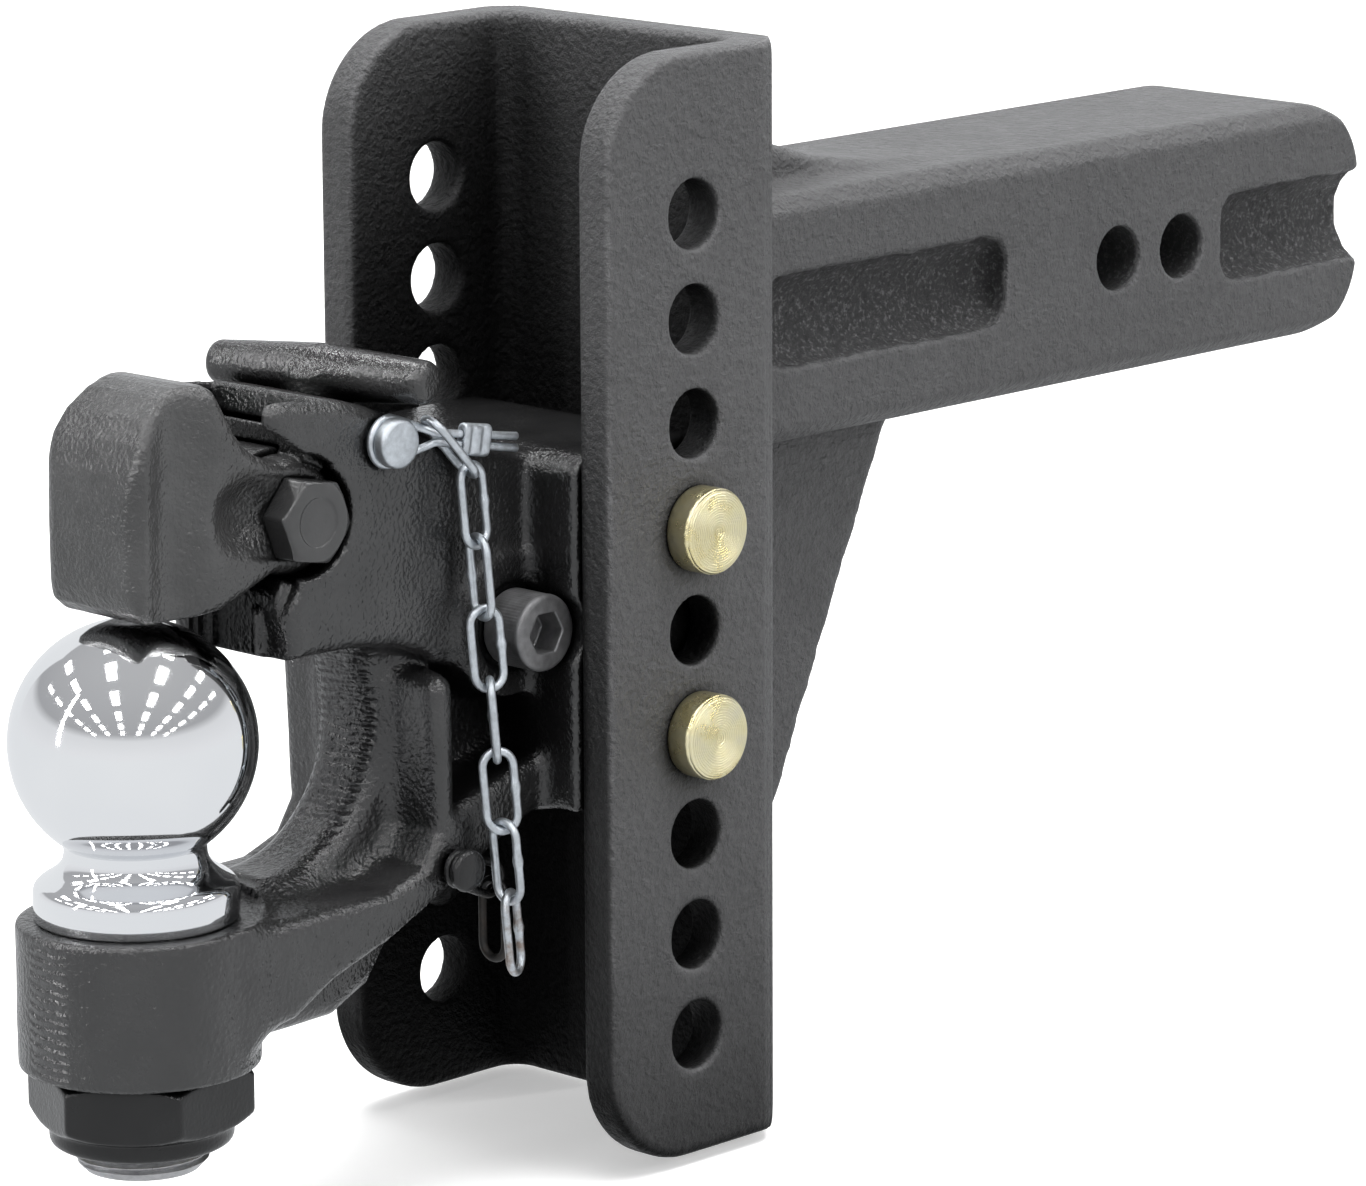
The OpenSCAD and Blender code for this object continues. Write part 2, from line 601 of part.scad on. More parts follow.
// Link round the stud
anchor_dir = unit([14, 0.8, -6]);
anchor_pos = stud_pos + [0, -2.1, 0]
    + anchor_dir * (link_end - link_wire_r - stud_r - 0.05);

// Half of a link's stadium path: the bend at the end that sign (1 or -1) points to
function link_bend(centre, dir, side, sign, steps = 8) =
    [for (i = [0:steps]) let (a = -90 * sign + 180 * i / steps)
        centre + sign * link_half * dir + link_r * (cos(a) * dir + sin(a) * side)];
// Spread direction at a turn, square to the run direction
function spread(turn, dir) =
    let (flat = [cos(turn), sin(turn), 0])
    unit(flat - dir * (flat * dir));
// A link running along dir with its bends spread along side
module chain_link(centre, dir, side)
    wire(concat(link_bend(centre, dir, side, 1), link_bend(centre, dir, side, -1)),
         r = link_wire_r, up = cross(dir, side), sides = 8, closed = true);
// The hanging run, from the tether down to the lowest link
module safety_chain() color([0.78, 0.8, 0.82]) head() {
    chain_link(first_pos, first_dir, spread(75, first_dir));
    for (i = [0:len(hang_turns) - 1])
        chain_link(hang_pos + hang_dir * link_pitch * i, hang_dir,
                   spread(hang_turns[i], hang_dir));
}
// The anchored run: one link round the stud, one link hanging from it
module chain_anchor_link() color([0.76, 0.78, 0.8]) head() {
    chain_link(anchor_pos, anchor_dir, unit(cross(anchor_dir, [0, 1, 0])));
    chain_link(anchor_pos + anchor_dir * link_end
               + unit([-anchor_dir[0], 0, 0.4]) * (chain_wire_d + 0.15) + [0, 0, -link_end],
               [0, 0, -1], [0, 1, 0]);
}
module chain_stud() color([0.13, 0.13, 0.13]) head()
    translate(stud_pos) rotate([90, 0, 0]) {
        translate([0, 0, -11]) cylinder(r = stud_r, h = 15.6);
        translate([0, 0, 4.4]) cylinder(r = 5.2, h = 2);
        translate([0, 0, 6.4 - eps]) cylinder(r1 = 5.2, r2 = 4.2, h = 0.8);
    }

// Socket-head screw in the near side of the hook's neck
module neck_cap_screw() color([0.12, 0.12, 0.12]) head()
    translate([screw_x, screw_seat_y, screw_z]) rotate([90, 0, 0]) difference() {
        union() {
            cylinder(r = 9.5, h = 11.6);
            translate([0, 0, 11.6 - eps]) cylinder(r1 = 9.5, r2 = 8.6, h = 1.1);
            translate([0, 0, -30]) cylinder(d = 12.7, h = 31);
        }
        // Hex socket
        translate([0, 0, 5.5]) rotate([0, 0, 30]) cylinder(d = 9.53 / cos(30), h = 9, $fn = 6);
    }

// ---------- hitch pins ----------
hitch_head_h = 7.1;
head_chamfer = 0.8;
tip_chamfer = 1.5;
pin_near = -channel_w / 2;      // near face of the channel
pin_far = channel_w / 2 + 13;   // far end of the pins
clip_y = pin_far - 6.5;         // clip hole
clip_bend_r = 4.1;

module hitch_pin(z) head() translate([0, 0, z]) rotate([-90, 0, 0]) difference() {
    union() {
        translate([0, 0, pin_near - hitch_head_h - head_chamfer])
            cylinder(r1 = hitch_head_d / 2 - head_chamfer, r2 = hitch_head_d / 2,
                     h = head_chamfer);
        translate([0, 0, pin_near - hitch_head_h - eps])
            cylinder(d = hitch_head_d, h = hitch_head_h);
        translate([0, 0, pin_near - 1])
            cylinder(d = hitch_pin_d, h = pin_far - tip_chamfer - pin_near + 1);
        translate([0, 0, pin_far - tip_chamfer - eps])
            cylinder(r1 = hitch_pin_d / 2, r2 = hitch_pin_d / 2 - tip_chamfer,
                     h = tip_chamfer);
    }
    translate([0, 0, clip_y]) rotate([0, 90, 0]) cylinder(r = 2.1, h = 40, center = true);
}
// Hairpin clip: straight leg through the pin, bowed leg over the pin's end
module hitch_clip(z) head() translate([0, clip_y, z])
    wire(concat(
        [[12.6, 0, 0], [6, 0, 0], [0, 0, 0], [-6, 0, 0], [-11, 0, 0]],
        [for (i = [1:9]) let (a = -90 - i * 22)
            [-11 + clip_bend_r * cos(a), clip_bend_r + clip_bend_r * sin(a), 0]],
        [[-8, 8.6, 0], [-4.4, 8.9, 0], [0, 8.7, 0], [4.4, 8.5, 0], [7.6, 8.9, 0],
         [9.8, 10, 0]]),
        r = 1.4, up = [0, 0, 1], sides = 8);
module hitch_pin_upper() color([0.8, 0.72, 0.4]) hitch_pin(hole_pitch);
module hitch_pin_lower() color([0.8, 0.72, 0.4]) hitch_pin(-hole_pitch);
module hitch_clip_upper() color([0.75, 0.75, 0.77]) hitch_clip(hole_pitch);
module hitch_clip_lower() color([0.75, 0.75, 0.77]) hitch_clip(-hole_pitch);

channel();
shank();
gusset();
weld_beads();
hook_body();
tow_ball();
ball_nut();
ball_nut_insert();
latch();
latch_pivot_bolt();
latch_pivot_nut();
latch_pivot_washer();
lock_handle();
lock_spring();
lock_detent_ball();
safety_pin();
tether_wire();
wire_ferrule();
safety_chain();
chain_anchor_link();
chain_stud();
neck_cap_screw();
hitch_pin_upper();
hitch_pin_lower();
hitch_clip_upper();
hitch_clip_lower();
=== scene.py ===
"""Combination hook and tow ball on a height-adjustable mount with a square shank.

Shapes are worked out in millimetres and turned into metres when a mesh is made.
X runs along the shank, with the ball at -X and the shank's free end at +X; Y runs
across and Z is up. The part frame has its origin on a cross hole of the shank. The
head frame, used for the channel, hook, ball and small parts, is shifted from it by
(HEAD_X, 0, HEAD_Z). Most pieces are signed distance fields, negative inside, sampled
on a grid and skinned with quads; turned parts and wires are built directly.
"""
import bpy, bmesh, json, math
from itertools import product
import numpy as np
from mathutils import Matrix, Vector


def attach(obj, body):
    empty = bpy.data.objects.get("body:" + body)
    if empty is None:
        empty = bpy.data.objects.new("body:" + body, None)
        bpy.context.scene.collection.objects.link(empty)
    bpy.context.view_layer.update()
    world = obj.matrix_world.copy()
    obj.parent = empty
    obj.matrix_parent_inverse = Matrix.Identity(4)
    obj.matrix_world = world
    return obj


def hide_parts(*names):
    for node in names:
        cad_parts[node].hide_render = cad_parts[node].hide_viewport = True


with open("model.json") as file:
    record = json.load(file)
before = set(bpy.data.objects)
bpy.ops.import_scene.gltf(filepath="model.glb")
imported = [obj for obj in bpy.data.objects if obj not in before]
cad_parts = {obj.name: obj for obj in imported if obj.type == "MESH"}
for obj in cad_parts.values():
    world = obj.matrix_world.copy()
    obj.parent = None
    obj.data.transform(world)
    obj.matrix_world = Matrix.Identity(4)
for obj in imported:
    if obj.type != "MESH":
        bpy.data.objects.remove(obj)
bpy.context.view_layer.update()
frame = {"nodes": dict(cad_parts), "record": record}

BODY = {node: body for body, nodes in frame["record"]["behaviour"]["bodies"].items()
        for node in nodes}
MM = 0.001

# ------------------------------------------------------------------ shared dimensions, mm
HEAD_X, HEAD_Z = -177.8, -66.7          # origin of the head frame in the part frame
HOLE_PITCH = 25.4

# channel, head frame
CHANNEL_WALL, CHANNEL_GAP = 10.7, 77.44
CHANNEL_HALF = CHANNEL_GAP / 2 + CHANNEL_WALL
CHANNEL_FACE = 35.0                     # outer face of the back, towards the shank
CHANNEL_TOP, CHANNEL_BOTTOM = 140.5, -132.0

# shank, part frame
FACE_X = HEAD_X + CHANNEL_FACE          # where shank and gusset meet the channel
SHANK_END, SHANK_HALF = 100.2, 31.75

# hook and what it carries, head frame
PIVOT_X, PIVOT_Z = -101.0, 38.7         # latch pivot bolt
SEAT_TILT = 9.9                         # degrees, bolt head seat in the latch
LOCK_X = -77.0                          # T-handle stem
HANDLE_Z = 68                           # axis of the handle's bar
HANDLE_TURN = math.radians(14)          # bar turned from Y, seen from above
SAFETY_Z = 54.2                         # safety pin
DETENT_Z = 44.5
THROAT_X, THROAT_Z, THROAT_RADIUS = -104.5, -16, 33.5
BALL_X, BALL_Z = -138.1, -11.2
SEAT_TOP, SEAT_BOTTOM = -53.0, -88.7    # ball seat
HOOK_TOP, BLOCK_X, BLOCK_HALF = 68.0, 22, 38.1
STUD = (-62.0, -27.5, -50.9)            # chain stud
SCREW_X, SCREW_Z = -36.7, 3.2           # cap screw
SCREW_SEAT_Y = -22.4
PIN_END = CHANNEL_HALF + 13             # +Y end of the hitch pins
CLIP_Y = PIN_END - 6.5                  # cross hole of the hitch pins
TETHER_Y = -23.35


# ------------------------------------------------------------------ mesh tools
def new_mesh(name, points, faces, head=True):
    """Smooth mesh object from millimetre points; head=True for head-frame points."""
    points = np.asarray(points, dtype=np.float64).copy()
    if head:
        points = points + np.array([HEAD_X, 0, HEAD_Z])
    points *= MM
    mesh = bpy.data.meshes.new(name)
    if isinstance(faces, np.ndarray):
        count = len(faces)
        mesh.vertices.add(len(points))
        mesh.vertices.foreach_set("co", points.astype(np.float32).ravel())
        mesh.loops.add(4 * count)
        mesh.loops.foreach_set("vertex_index", faces.astype(np.int32).ravel())
        mesh.polygons.add(count)
        mesh.polygons.foreach_set("loop_start", np.arange(0, 4 * count, 4, dtype=np.int32))
        mesh.update(calc_edges=True)
        mesh.validate()
    else:
        mesh.from_pydata([tuple(p) for p in points], [],
                         [tuple(int(i) for i in face) for face in faces])
        mesh.validate()
        mesh.update()
    obj = bpy.data.objects.new(name, mesh)
    bpy.context.collection.objects.link(obj)
    smooth_faces(mesh)
    return obj


def smooth_faces(mesh):
    mesh.polygons.foreach_set("use_smooth", [True] * len(mesh.polygons))


def piece(name, node, points, faces, material, head=True, sharp=None):
    """Mesh that takes the place of a CAD node and rides on that node's body."""
    obj = new_mesh(name, points, faces, head)
    if sharp is not None:
        obj.data.set_sharp_from_angle(angle=math.radians(sharp))
    obj.data.materials.append(material)
    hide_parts(node)
    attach(obj, BODY[node])
    return obj


def field_piece(name, node, field, axes, material, head=True, offset=(0, 0, 0), **limits):
    """Skin a field; limits such as x=(low, high) flatten the skin onto outer planes."""
    points, faces = surface_nets(field, axes)
    for axis, (low, high) in limits.items():
        column = "xyz".index(axis)
        points[:, column] = np.clip(points[:, column], low, high)
    return piece(name, node, points + np.array(offset), faces, material, head)


def recalc_normals(obj):
    mesh = bmesh.new()
    mesh.from_mesh(obj.data)
    bmesh.ops.recalc_face_normals(mesh, faces=mesh.faces[:])
    mesh.to_mesh(obj.data)
    mesh.free()


def cut_away(obj, cutter):
    bpy.context.view_layer.objects.active = obj
    modifier = obj.modifiers.new("cut", "BOOLEAN")
    modifier.operation = "DIFFERENCE"
    modifier.object = cutter
    modifier.solver = "EXACT"
    bpy.ops.object.modifier_apply(modifier=modifier.name)
    bpy.data.objects.remove(cutter, do_unlink=True)


def second_material(obj, material, below):
    """Give faces centred below a head-frame height another material."""
    obj.data.materials.append(material)
    height = (below + HEAD_Z) * MM
    for polygon_face in obj.data.polygons:
        if polygon_face.center.z < height:
            polygon_face.material_index = 1


# ------------------------------------------------------------------ distance fields
def grid(low, high, step):
    """Sample axes, shaped to broadcast against one another."""
    x, y, z = [np.arange(start - 2.5 * step, end + 2.6 * step, step,
                         dtype=np.float64).astype(np.float32)
               for start, end in zip(low, high)]
    return x[:, None, None], y[None, :, None], z[None, None, :]


def join(a, b, blend):
    """Union with a fillet."""
    overlap = np.maximum(blend - np.abs(a - b), 0) / blend
    return np.minimum(a, b) - overlap * overlap * (blend * 0.25)


def meet(a, b, blend=0):
    """Intersection, with a rounded edge where blend is above 0."""
    if blend <= 0:
        return np.maximum(a, b)
    overlap = np.maximum(blend - np.abs(a - b), 0) / blend
    return np.maximum(a, b) + overlap * overlap * (blend * 0.25)


def cut(a, b, blend=0):
    """a with b taken away."""
    return meet(a, -b, blend)


def polygon(u, v, corners):
    """Distance to a closed outline in the u, v plane."""
    nearest, inside = np.inf, False
    for (u0, v0), (u1, v1) in zip(corners, corners[1:] + corners[:1]):
        edge_u, edge_v = u1 - u0, v1 - v0
        from_u, from_v = u - u0, v - v0
        along = np.clip((from_u * edge_u + from_v * edge_v)
                        / (edge_u * edge_u + edge_v * edge_v), 0, 1)
        nearest = np.minimum(nearest, (from_u - along * edge_u) ** 2
                             + (from_v - along * edge_v) ** 2)
        if edge_v != 0:
            crossing = u0 + (v - v0) * (edge_u / edge_v)
            inside = inside ^ ((v >= min(v0, v1)) & (v < max(v0, v1)) & (u < crossing))
    distance = np.sqrt(nearest)
    return np.where(inside, -distance, distance)


def extrude(outline, half, y, edge):
    """Outline made solid between y = -half and +half, with rounded edges."""
    return meet(outline, np.abs(y) - half, 2.2 * edge)


def length(*parts):
    return np.sqrt(sum(part ** 2 for part in parts))


def circle(u, v, centre_u, centre_v, radius):
    return length(u - centre_u, v - centre_v) - radius


def corner(u, v, radius):
    """Quarter round whose centre is at u = v = 0."""
    return length(np.maximum(u, 0), np.maximum(v, 0)) - radius


def slab(axis, low, high):
    return np.maximum(low - axis, axis - high)


def rounded_box(axes, low, high, radius):
    x, y, z = [np.abs(axis - (start + end) / 2) - ((end - start) / 2 - radius)
               for axis, start, end in zip(axes, low, high)]
    outside = length(np.maximum(x, 0), np.maximum(y, 0), np.maximum(z, 0))
    return outside + np.minimum(np.maximum(x, np.maximum(y, z)), 0) - radius


def hexagon(u, v, flats, turn):
    """Hexagon of a width across flats, turned by degrees."""
    shape = None
    for k in range(3):
        angle = math.radians(turn + 60 * k)
        pair = np.abs(u * math.cos(angle) + v * math.sin(angle)) - flats / 2
        shape = pair if shape is None else meet(shape, pair, 0.5)
    return shape


def lattice_noise(axes, size, seed):
    """Smooth noise, about -1..1, with features of a size in mm."""
    counts = [int((float(axis.max()) - float(axis.min())) / size) + 3 for axis in axes]
    lattice = np.random.RandomState(seed).uniform(-1, 1, counts).astype(np.float32)
    cells, fades = [], []
    for axis in axes:
        place = (axis.ravel() - float(axis.min())) / size
        cell = np.floor(place).astype(int)
        part = (place - cell).astype(np.float32)
        cells.append(cell)
        fades.append(part * part * (3 - 2 * part))
    total = 0
    for ends in product((0, 1), repeat=3):
        wx, wy, wz = [fade if end else 1 - fade for fade, end in zip(fades, ends)]
        values = lattice[np.ix_(*[cell + end for cell, end in zip(cells, ends)])]
        total = total + values * (wx[:, None, None] * wy[None, :, None] * wz[None, None, :])
    return total


CELL_CORNERS = [ends[::-1] for ends in product((0, 1), repeat=3)]


def sample(points, field):
    """Field between its samples, points in grid steps."""
    cell = np.clip(np.floor(points).astype(int), 0, np.array(field.shape) - 2)
    part = points - cell
    total = 0
    for i, j, k in CELL_CORNERS:
        weight = ((part[:, 0] if i else 1 - part[:, 0]) * (part[:, 1] if j else 1 - part[:, 1])
                  * (part[:, 2] if k else 1 - part[:, 2]))
        total = total + weight * field[cell[:, 0] + i, cell[:, 1] + j, cell[:, 2] + k]
    return total


def surface_nets(field, axes):
    """Quads on the zero surface of a field: one point per cell the surface crosses."""
    field = field.astype(np.float32)
    first = axes[0].ravel()
    step = float(first[1] - first[0])
    inside = field < 0
    nx, ny, nz = [n - 1 for n in field.shape]
    full = np.zeros((nx, ny, nz), np.int8)
    for i, j, k in CELL_CORNERS:
        full += inside[i:nx + i, j:ny + j, k:nz + k]
    crossed = (full > 0) & (full < 8)
    cells = np.argwhere(crossed)
    point_of = np.full(crossed.shape, -1, np.int64)
    point_of[crossed] = np.arange(len(cells))

    # each point starts at the mean of the crossings on its cell's edges
    values = [field[cells[:, 0] + i, cells[:, 1] + j, cells[:, 2] + k]
              for i, j, k in CELL_CORNERS]
    total, count = np.zeros((len(cells), 3)), np.zeros(len(cells))
    for a in range(8):
        for b in range(a + 1, 8):
            start, end = np.array(CELL_CORNERS[a]), np.array(CELL_CORNERS[b])
            if np.abs(start - end).sum() != 1:
                continue
            crosses = (values[a] < 0) != (values[b] < 0)
            part = np.where(crosses, values[a] / np.where(crosses, values[a] - values[b], 1), 0)
            total += np.where(crosses[:, None], start + (end - start) * part[:, None], 0)
            count += crosses
    points = total / count[:, None] + cells

    # then is pulled onto the surface along the slope
    reach, longest_move, flattest_slope = 0.5, 0.45, 0.35 * step
    for _ in range(2):
        value = sample(points, field)
        slope = np.stack([sample(points + shift, field) - sample(points - shift, field)
                          for shift in np.eye(3) * reach], 1) / (2 * reach)
        steepness = np.maximum((slope ** 2).sum(1), flattest_slope ** 2)
        move = slope * (-value / steepness)[:, None]
        distance = np.linalg.norm(move, axis=1)
        move *= np.minimum(1, longest_move / np.maximum(distance, 1e-9))[:, None]
        points = points + move
    points = points * step + np.array([float(axis.ravel()[0]) for axis in axes])

    # one quad round every grid edge that crosses the surface
    quads = []
    for axis in range(3):
        before, after = [slice(None)] * 3, [slice(None)] * 3
        before[axis], after[axis] = slice(0, -1), slice(1, None)
        starts = inside[tuple(before)]
        edges = np.argwhere(starts != inside[tuple(after)])
        side, other = (axis + 1) % 3, (axis + 2) % 3
        edges = edges[(edges[:, side] > 0) & (edges[:, other] > 0)
                      & (edges[:, side] < field.shape[side] - 1)
                      & (edges[:, other] < field.shape[other] - 1)]
        ring = []
        for shift_side, shift_other in ((-1, -1), (0, -1), (0, 0), (-1, 0)):
            cell = edges.copy()
            cell[:, side] += shift_side
            cell[:, other] += shift_other
            ring.append(point_of[cell[:, 0], cell[:, 1], cell[:, 2]])
        quad = np.stack(ring, 1)
        leaving = starts[edges[:, 0], edges[:, 1], edges[:, 2]]
        quad[~leaving] = quad[~leaving][:, ::-1]
        quads.append(quad)
    return points, np.concatenate(quads)


# ------------------------------------------------------------------ turned parts and wires
def lathe(profile, sides, along_y=False):
    """Revolve (radius, height) pairs about Z or Y; a radius of 0 closes with a fan."""
    points, faces, rings = [], [], []
    for radius, height in profile:
        start = len(points)
        if radius < 1e-6:
            rings.append([start])
            points.append((0, 0, height))
            continue
        rings.append(list(range(start, start + sides)))
        for i in range(sides):
            angle = 2 * math.pi * i / sides
            points.append((radius * math.cos(angle), radius * math.sin(angle), height))
    for low, high in zip(rings[:-1], rings[1:]):
        for i in range(sides):
            j = (i + 1) % sides
            if len(low) == 1:
                faces.append((low[0], high[j], high[i]))
            elif len(high) == 1:
                faces.append((low[i], low[j], high[0]))
            else:
                faces.append((low[i], low[j], high[j], high[i]))
    points = np.array(points, float)
    if along_y:
        points = np.stack([points[:, 0], points[:, 2], -points[:, 1]], 1)
    return points, faces


def bridge(ring, following):
    """Quads between two equal rings of point numbers."""
    return [(ring[k], ring[(k + 1) % len(ring)], following[(k + 1) % len(ring)], following[k])
            for k in range(len(ring))]


def tube(path, radius, up, closed=False, factors=None, sides=14):
    """Round wire along a path; open ends are domed, factors scale the radius by point."""
    path = np.asarray(path, float)
    count = len(path)
    tangents = np.zeros_like(path)
    for i in range(count):
        ahead = path[(i + 1) % count] if (closed or i < count - 1) else path[i]
        behind = path[(i - 1) % count] if (closed or i > 0) else path[i]
        tangents[i] = (ahead - behind) / np.linalg.norm(ahead - behind)
    up = np.array(up, float)
    points, faces = [], []
    for i in range(count):
        first = up - tangents[i] * (up @ tangents[i])
        first /= np.linalg.norm(first)
        second = np.cross(tangents[i], first)
        here = radius * (factors[i] if factors else 1)
        for k in range(sides):
            angle = 2 * math.pi * k / sides
            points.append(path[i] + here * (math.cos(angle) * first + math.sin(angle) * second))
    rings = [list(range(i * sides, (i + 1) * sides)) for i in range(count)]
    for i in range(count if closed else count - 1):
        faces += bridge(rings[i], rings[(i + 1) % count])
    if not closed:
        for end, sign in ((0, -1), (count - 1, 1)):
            previous, centre = rings[end], path[end]
            for rise in (0.5, 0.85):
                start = len(points)
                raised = centre + sign * tangents[end] * radius * 0.35 * rise
                shrink = math.sqrt(1 - rise * rise)
                points += [raised + (points[k] - centre) * shrink for k in rings[end]]
                current = list(range(start, start + sides))
                faces += [quad if sign > 0 else quad[::-1] for quad in bridge(previous, current)]
                previous = current
            tip = len(points)
            points.append(centre + sign * tangents[end] * radius * 0.36)
            for k in range(sides):
                fan = (previous[k], previous[(k + 1) % sides], tip)
                faces.append(fan if sign > 0 else fan[::-1])
    return np.array(points), faces


def merge(parts):
    points, faces, start = [], [], 0
    for part_points, part_faces in parts:
        points.append(part_points)
        faces += [tuple(i + start for i in face) for face in part_faces]
        start += len(part_points)
    return np.concatenate(points), faces


def smooth_path(stations, steps):
    """Catmull-Rom curve through the stations."""
    p = [np.array(station, float) for station in stations]
    last = len(p) - 1
    path = []
    for i in range(last):
        before = p[i - 1] if i > 0 else p[i] * 2 - p[i + 1]
        start, end = p[i], p[i + 1]
        after = p[i + 2] if i + 1 < last else p[i + 1] * 2 - p[i]
        for j in range(steps):
            t = j / steps
            path.append(0.5 * ((2 * start) + (-before + end) * t
                               + (2 * before - 5 * start + 4 * end - after) * t * t
                               + (-before + 3 * start - 3 * end + after) * t ** 3))
    path.append(p[-1])
    return np.array(path)


# ------------------------------------------------------------------ shader tools
class Graph:
    """Short ways to add and link nodes; inputs take a socket, a number or an RGB tuple."""

    def __init__(self, tree):
        self.tree = tree
        tree.nodes.clear()

    def add(self, kind, **settings):
        node = self.tree.nodes.new(kind)
        for key, value in settings.items():
            setattr(node, key, value)
        return node

    def feed(self, socket, value):
        if isinstance(value, bpy.types.NodeSocket):
            self.tree.links.new(value, socket)
        elif isinstance(value, tuple):
            socket.default_value = (*value, 1)
        else:
            socket.default_value = value

    def filled(self, kind, inputs, **settings):
        """Node with its inputs filled from a {name or number: value} table."""
        node = self.add(kind, **settings)
        for key, value in inputs.items():
            self.feed(node.inputs[key], value)
        return node

    def ramp(self, value, stops):
        node = self.filled("ShaderNodeValToRGB", {0: value})
        elements = node.color_ramp.elements
        while len(elements) < len(stops):
            elements.new(0.5)
        for element, (position, color) in zip(elements, stops):
            element.position = position
            element.color = (*color, 1)
        return node.outputs[0]

    def mix_shader(self, factor, first, second):
        return self.filled("ShaderNodeMixShader", {0: factor, 1: first, 2: second}).outputs[0]


class Shader(Graph):
    """A new material: a Principled shader, with textures in object coordinates."""

    INPUTS = {"color": "Base Color", "metal": "Metallic", "rough": "Roughness",
              "normal": "Normal", "specular": "Specular IOR Level",
              "anisotropic": "Anisotropic", "tangent": "Tangent"}

    def __init__(self, name):
        self.material = bpy.data.materials.new(name)
        self.material.use_nodes = True
        super().__init__(self.material.node_tree)
        self.output = self.add("ShaderNodeOutputMaterial")
        self.principled = self.add("ShaderNodeBsdfPrincipled")
        self.surface(self.principled.outputs[0])
        self.place = self.add("ShaderNodeTexCoord").outputs["Object"]

    def surface(self, shader):
        self.feed(self.output.inputs[0], shader)
        return self.material

    def finish(self, **inputs):
        for key, value in inputs.items():
            self.feed(self.principled.inputs[self.INPUTS[key]], value)
        return self.material

    def noise(self, scale, detail=3.0, rough=0.55):
        return self.filled("ShaderNodeTexNoise", {
            "Scale": scale, "Detail": detail, "Roughness": rough,
            "Vector": self.place}).outputs["Fac"]

    def cells(self, scale):
        return self.filled("ShaderNodeTexVoronoi", {"Scale": scale, "Vector": self.place},
                           feature="SMOOTH_F1").outputs["Distance"]

    def remap(self, value, span, to=(0, 1)):
        """Carry a span of the value onto another, clamped at its ends."""
        return self.filled("ShaderNodeMapRange", {
            0: value, 1: span[0], 2: span[1], 3: to[0], 4: to[1]}).outputs[0]

    def math(self, operation, *values):
        return self.filled("ShaderNodeMath", dict(enumerate(values)),
                           operation=operation).outputs[0]

    def times(self, a, b):
        return self.math("MULTIPLY", a, b)

    def mix(self, factor, a, b):
        return self.filled("ShaderNodeMix", {0: factor, 6: a, 7: b},
                           data_type="RGBA").outputs[2]

    def darken(self, color, factor):
        grey = self.filled("ShaderNodeCombineColor", {0: factor, 1: factor, 2: factor})
        return self.filled("ShaderNodeMix", {0: 1, 6: color, 7: grey.outputs[0]},
                           data_type="RGBA", blend_type="MULTIPLY").outputs[2]

    def bump(self, height, distance, strength=1.0, under=None):
        """Relief of a distance in metres, on top of another normal if given."""
        inputs = {"Strength": strength, "Distance": distance, "Height": height}
        if under:
            inputs["Normal"] = under
        return self.filled("ShaderNodeBump", inputs).outputs[0]

    def axes(self):
        return self.filled("ShaderNodeSeparateXYZ", {0: self.place}).outputs

    def painted_recess_shade(self, distance, span, deepest):
        """Painted shade from ambient occlusion: 1 in the open, down to `deepest` far inside
        recesses.
        """
        node = self.filled("ShaderNodeAmbientOcclusion", {"Distance": distance}, samples=8)
        return self.remap(node.outputs["AO"], span, to=(deepest, 1))

    def pointiness(self):
        """Above 0.5 on convex edges."""
        return self.add("ShaderNodeNewGeometry").outputs["Pointiness"]

    def radius(self, a, b):
        return self.math("SQRT", self.math("ADD", self.times(a, a), self.times(b, b)))

    def wave(self, value, wobble, period):
        """Sine lines across a value, bent by the wobble; lengths in metres."""
        return self.math("SINE", self.times(self.math("ADD", value, wobble),
                                            2 * math.pi / period))

    def emission(self, color, strength):
        return self.filled("ShaderNodeEmission", {0: color, 1: strength}).outputs[0]


def shade(color, factor):
    return tuple(c * factor for c in color)


